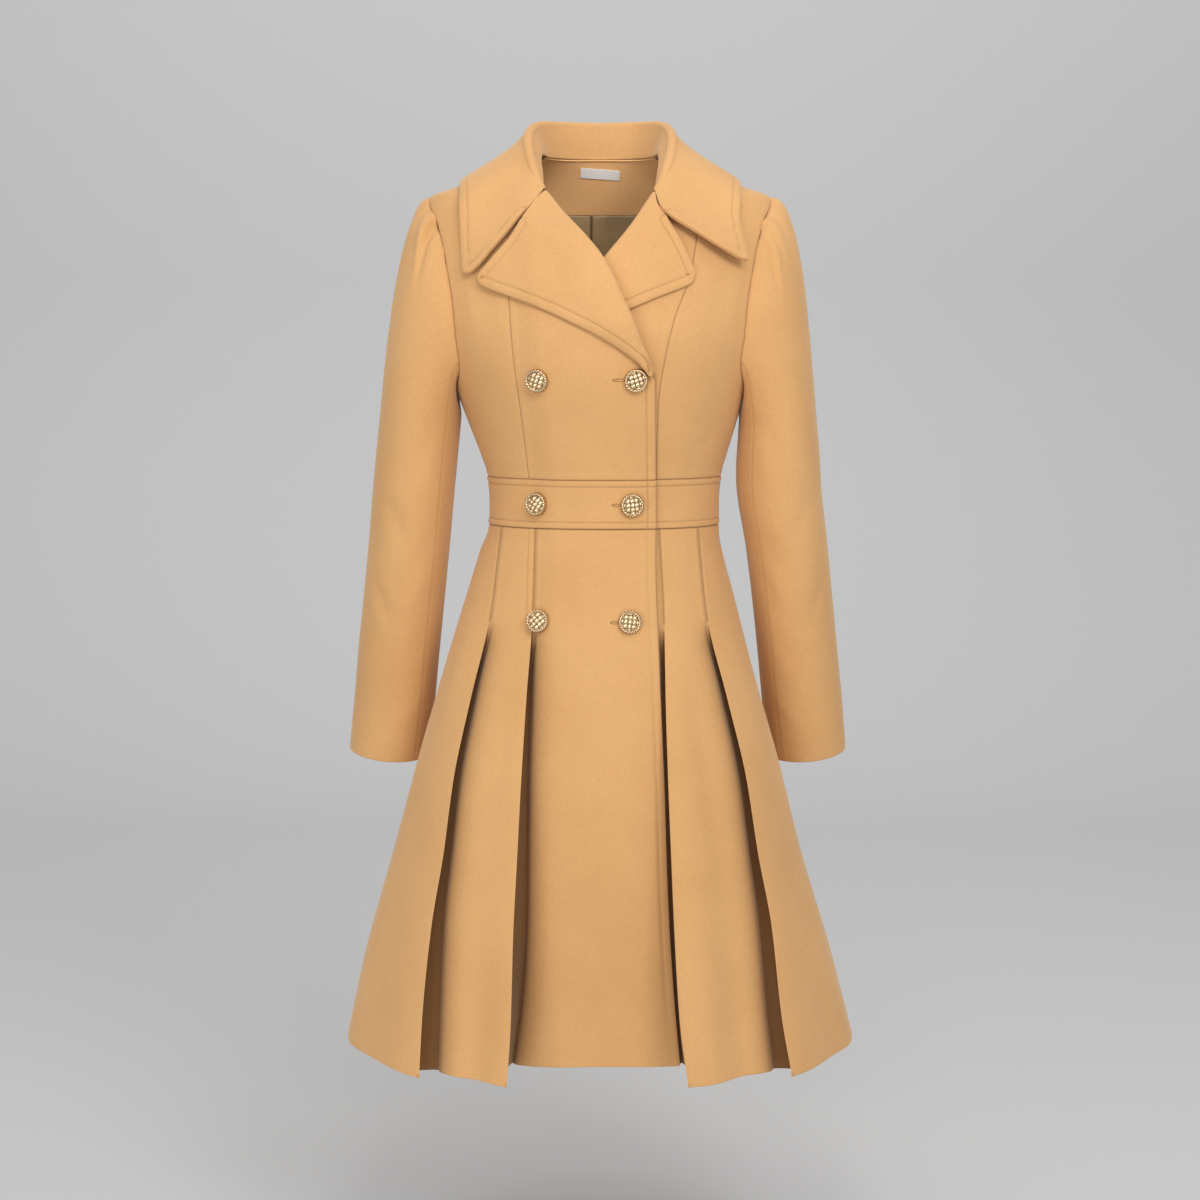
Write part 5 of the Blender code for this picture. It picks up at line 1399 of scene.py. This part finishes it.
def collar_end(side):
    """The collar's front end: round the roll and out along its lower edge."""
    line = ROLL if side < 0 else ROLL_UNDER
    radius = ROLL_R if side < 0 else UNDER_R
    start = np.array([line[0][1] + 0.0002 * side, line[0][0] + 0.0014])
    table = np.array(COLLAR_END_RIGHT if side < 0 else COLLAR_END_LEFT)
    away = unit(table[0] - start)
    root = start + away * (radius + CLOTH / 2)
    lift = lift_right if side < 0 else no_lift
    base_lift = float(lift(*root))
    points = []
    for e in np.linspace(-0.6, 0, 12)[:-1]:
        q = root + away * (-e) * 0.004
        points.append(on_front(q[0], q[1], base_lift + CLOTH / 2 - 0.0004))
    for a in np.radians(np.linspace(0, 180, 13)):
        q = root - away * math.sin(a) * radius
        points.append(on_front(q[0], q[1], base_lift + CLOTH / 2 + radius * (1 - math.cos(a))))
    edge = catmull_line(np.concatenate([[root], table]), 14)
    s = np.linspace(0, 1, FALL + 1)[1:]
    flat = along_line(edge, s)
    first = 2 * radius - CLOTH
    # the lower edge stands off the front towards the tip
    stand = 0.0062 if side < 0 else 0.0135
    height = first + (stand - first) * s ** 0.9 + 0.0030 * np.sin(math.pi * s)
    out = lift(flat[:, 0], flat[:, 1]) + CLOTH + height + CLOTH / 2
    fall = on_front(flat[:, 0], flat[:, 1], out)
    return np.concatenate([np.array(points), fall])


def collar():
    stations = [collar_end(-1)] + [collar_station(row, -1.0) for row in COLLAR[:0:-1]]
    stations += [collar_station(row, 1.0) for row in COLLAR] + [collar_end(1)]
    middle = catmull_line(np.array(stations), 22)
    middle = round_corner(middle, 0.0125, 0, -1)
    middle = round_corner(middle, 0.0055, -1, -1)
    n = grid_normals(middle, False, lambda p: collar_facing(p))
    grid = middle + n * (CLOTH / 2 + 0.0003)
    fall = 11 + 13
    # the stitched edge runs along the outer edge and the two lower edges out from the gorge
    first = fall + 16
    profile = lambda d: stitched_profile(d)
    dark = lambda d: 0.22 * dark_line(d - STITCH, 0.0007)
    sheet("collar_cloth", grid, camel, ["collar"], facing=collar_facing,
          sides=dict(right="free", top="plain", bottom="plain", left="plain"),
          lines=[(np.concatenate([grid[0, first:], grid[1:-1, -1], grid[-1, first:][::-1]]), profile, dark)],
          thick=CLOTH + 0.0006,
          depth=0.008)


def collar_facing(p):
    """The face that shows: out and up on the fall, in towards the neck on the stand."""
    ref = np.zeros_like(p)
    ref[:, 26:] = p[:, 26:] - np.array([0.0, 0.01, -0.05])
    return ref


# ------------------------------------------------------------------ buttons
def cloth_lift(x, z):
    if z > WAIST_BOTTOM:
        return lift_right(x, z)
    return OVERLAP * step((x - column(FOLDS_RIGHT, 0, 7)(z) + 0.008) / RAMP)


def buttons():
    rings, around = 46, 96
    for k, (name, x, z) in enumerate(BUTTONS):
        deg = float(deg_at(x, z))
        lift = float(cloth_lift(x, z))
        extra = 0.0006 if WAIST_BOTTOM < z < WAIST_TOP else 0.0
        n = normal(deg, z)
        across = unit(base(deg + 1, z) - base(deg - 1, z))
        up = np.cross(n, across)
        foot = base(deg, z)
        high = 0.0
        for q in range(12):
            px = x + BUTTON_R * math.cos(math.pi * q / 6)
            pz = z + BUTTON_R * math.sin(math.pi * q / 6)
            high = max(high, float(np.dot(on_front(px, pz, cloth_lift(px, pz) + CLOTH + extra) - foot, n)))
        centre = foot + n * (max(high, lift + CLOTH + extra) + 0.0005)
        a = np.linspace(0, 2 * math.pi, around, endpoint=False)[None, :]
        r = np.linspace(0.02, 1.0, rings)[:, None]
        turn = 0.35 + 0.9 * k
        u, v = r * np.cos(a + turn), r * np.sin(a + turn)
        # a domed middle of crossed bands inside a twisted rope rim
        dome = 0.62 + 0.30 * (1 - (r / 0.74) ** 2)
        bu, bv = u / 0.400, v / 0.400
        cu, cv = np.round(bu), np.round(bv)
        over = ((cu + cv) % 2 == 0)
        band = np.where(over, np.sqrt(np.clip(1 - ((bu - cu) / 0.50) ** 2, 0, 1)),
                        np.sqrt(np.clip(1 - ((bv - cv) / 0.50) ** 2, 0, 1)))
        arch = np.where(over, 1 - 0.5 * (2 * (bv - cv)) ** 2, 1 - 0.5 * (2 * (bu - cu)) ** 2)
        relief = 0.34 * band * arch
        middle = dome - 0.26 + relief
        q = (r - 0.865) / 0.125
        rope = 0.52 + 0.34 * np.sqrt(np.clip(1 - q * q, 0, 1)) * (0.72 + 0.28 * np.cos(22 * a + 3.5 * q))
        h = np.where(r < 0.72, middle, np.where(r < 0.75, 0.52, np.where(r < 0.985, rope, 0.46)))
        # painted shade: dark in the recesses between the bands, in the ring inside the rim and between the rope's
        # twists, partly dark on the sides and back
        shade = np.where(r < 0.72, np.clip(1.15 - relief / 0.26, 0, 1), np.where(r < 0.75, 1.0, 0.05
                         + 0.5 * (1 - np.cos(22 * a + 3.5 * q)) * 0.8))
        r_mm = r * BUTTON_R
        top = (centre + across * (r_mm * np.cos(a))[..., None] + up * (r_mm * np.sin(a))[..., None]
               + n * (h * BUTTON_H)[..., None])
        verts = [centre + n * BUTTON_H * (0.78 + 0.12)]
        verts += top.reshape(-1, 3).tolist()
        shades = [0.1] + shade.reshape(-1).tolist()
        faces = []
        for j in range(around):
            faces.append((0, 1 + j, 1 + (j + 1) % around))
        idx = 1 + np.arange(rings * around).reshape(rings, around)
        quads = np.stack([idx[:-1], idx[1:], np.roll(idx, -1, 1)[1:], np.roll(idx, -1, 1)[:-1]], -1).reshape(-1, 4)
        faces += quads.tolist()
        last = idx[-1]
        count = len(verts)
        for rr, hh in ((1.01, 0.34), (0.985, 0.14), (0.93, 0.04), (0.72, 0.0)):
            ring_pts = (centre + across * (rr * BUTTON_R * np.cos(a[0]))[:, None]
                        + up * (rr * BUTTON_R * np.sin(a[0]))[:, None] + n * hh * BUTTON_H)
            verts += ring_pts.tolist()
            shades += [0.35] * around
            ids = count + np.arange(around)
            faces += np.stack([last, ids, np.roll(ids, -1), np.roll(last, -1)], -1).tolist()
            last = ids
            count += around
        verts.append(centre)
        shades.append(0.4)
        for j in range(around):
            faces.append((int(last[(j + 1) % around]), int(last[j]), count))
        obj = mesh_object(name + "_gilt", [tuple(p) for p in verts], faces, brass, shades)
        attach(obj, "root")
        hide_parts(name)


def buttonholes():
    """Thread-bound slits beside the outer buttons."""
    for k, (x0, x1, z) in enumerate(((0.0122, 0.0270, -0.2112), (0.0118, 0.0235, -0.3380), (0.0100, 0.0215, -0.4565))):
        extra = 0.0006 if WAIST_BOTTOM < z < WAIST_TOP else 0.0
        count = 60
        a = np.linspace(0, 2 * math.pi, count, endpoint=False)
        half = (x1 - x0) / 2
        px = (x0 + x1) / 2 + np.sign(np.cos(a)) * np.abs(np.cos(a)) ** 0.5 * half
        pz = z + np.sin(a) * 0.0011
        lift = np.array([cloth_lift(float(q), z) for q in px])
        path = on_front(px, pz, lift + CLOTH + extra - 0.0001)
        n = normal(deg_at(px, pz), pz)
        tangent = unit(np.roll(path, -1, 0) - np.roll(path, 1, 0))
        side = np.cross(tangent, n)
        rings = []
        wrap = 0.00055 * (1 + 0.18 * np.cos(a * 46))
        for w in np.linspace(0, 2 * math.pi, 9)[:-1]:
            rings.append(path + side * (wrap * math.cos(w) * 1.3)[:, None] + n * (wrap * math.sin(w))[:, None])
        grid = np.stack(rings, 1)
        index = np.arange(count * 8).reshape(count, 8)
        q = np.stack([index, np.roll(index, -1, 1), np.roll(np.roll(index, -1, 1), -1, 0), np.roll(index, -1, 0)], -1)
        obj = mesh_object("buttonhole_%d" % (k + 1), grid.reshape(-1, 3).tolist(), q.reshape(-1, 4).tolist(), thread,
                          np.full(count * 8, 0.25))
        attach(obj, "root")


# --------------------------------------------------------------- studio
def studio():
    scene = bpy.context.scene
    floor_z = HEM_Z - 0.26
    profile = [(-6.0, floor_z)]
    profile += [(2.2 + 1.2 * math.sin(q), floor_z + 1.2 * (1 - math.cos(q))) for q in np.linspace(0, math.pi / 2, 24)]
    profile += [(3.4, 6.0)]
    verts = [(x, y, z) for y, z in profile for x in (-7.0, 7.0)]
    faces = [(2 * i, 2 * i + 1, 2 * i + 3, 2 * i + 2) for i in range(len(profile) - 1)]
    pale = bpy.data.materials.new("pale_floor")
    pale.use_nodes = True
    shader = pale.node_tree.nodes["Principled BSDF"]
    shader.inputs["Base Color"].default_value = (0.64, 0.64, 0.64, 1)
    shader.inputs["Roughness"].default_value = 0.9
    shader.inputs["Specular IOR Level"].default_value = 0.1
    mesh = bpy.data.meshes.new("studio_floor")
    mesh.from_pydata(verts, [], faces)
    mesh.materials.append(pale)
    mesh.shade_smooth()
    floor = bpy.data.objects.new("studio_floor", mesh)
    scene.collection.objects.link(floor)

    world = bpy.data.worlds.new("studio")
    scene.world = world
    world.use_nodes = True
    background = world.node_tree.nodes["Background"]
    background.inputs["Color"].default_value = (1.0, 1.0, 1.0, 1)
    background.inputs["Strength"].default_value = 0.55

    def area(name, at, aim, size, power, colour=(1, 1, 1)):
        data = bpy.data.lights.new(name, "AREA")
        data.shape = "RECTANGLE"
        data.size, data.size_y = size
        data.energy = power
        data.color = colour
        lamp = bpy.data.objects.new(name, data)
        lamp.location = at
        lamp.rotation_euler = (Vector(aim) - Vector(at)).to_track_quat("-Z", "Y").to_euler()
        scene.collection.objects.link(lamp)

    area("key", (1.25, -2.3, 1.0), (0.0, 0.0, -0.22), (1.1, 1.4), 27)
    area("fill", (-1.3, -2.4, -0.5), (0.0, 0.0, -0.72), (1.4, 1.2), 21)
    area("top", (0.2, -0.3, 1.9), (0.0, 0.0, -0.3), (1.6, 1.6), 11)
    area("neck", (0.0, -1.2, 0.62), (0.0, 0.07, 0.0), (0.4, 0.4), 4.5)
    area("wall", (0.0, 1.0, 2.6), (0.0, 3.4, 0.8), (4.0, 1.0), 30)

    camera_data = bpy.data.cameras.new("camera")
    camera_data.lens = 65
    camera_data.sensor_width = 36
    camera_data.clip_end = 40
    camera = bpy.data.objects.new("camera", camera_data)
    elevation, distance = math.radians(6.0), 2.3
    target = Vector((0.0, 0.0, -0.445))
    camera.location = target + Vector((0.0, -math.cos(elevation), math.sin(elevation))) * distance
    camera.rotation_euler = (target - camera.location).to_track_quat("-Z", "Y").to_euler()
    scene.collection.objects.link(camera)
    scene.camera = camera
    scene.view_settings.view_transform = "Standard"
    scene.view_settings.look = "None"
    scene.view_settings.exposure = 0.0


bodice()
waistband()
skirt_front(-1)
skirt_front(1)
skirt_back()
sleeves()
lapel(-1)
lapel(1)
collar()
buttons()
buttonholes()
studio()

triangles = {}
for item in bpy.data.objects:
    if item.type == "MESH" and "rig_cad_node" not in item:
        item.data.calc_loop_triangles()
        triangles[item.name] = len(item.data.loop_triangles)
print("TRIANGLES", sum(triangles.values()), triangles)
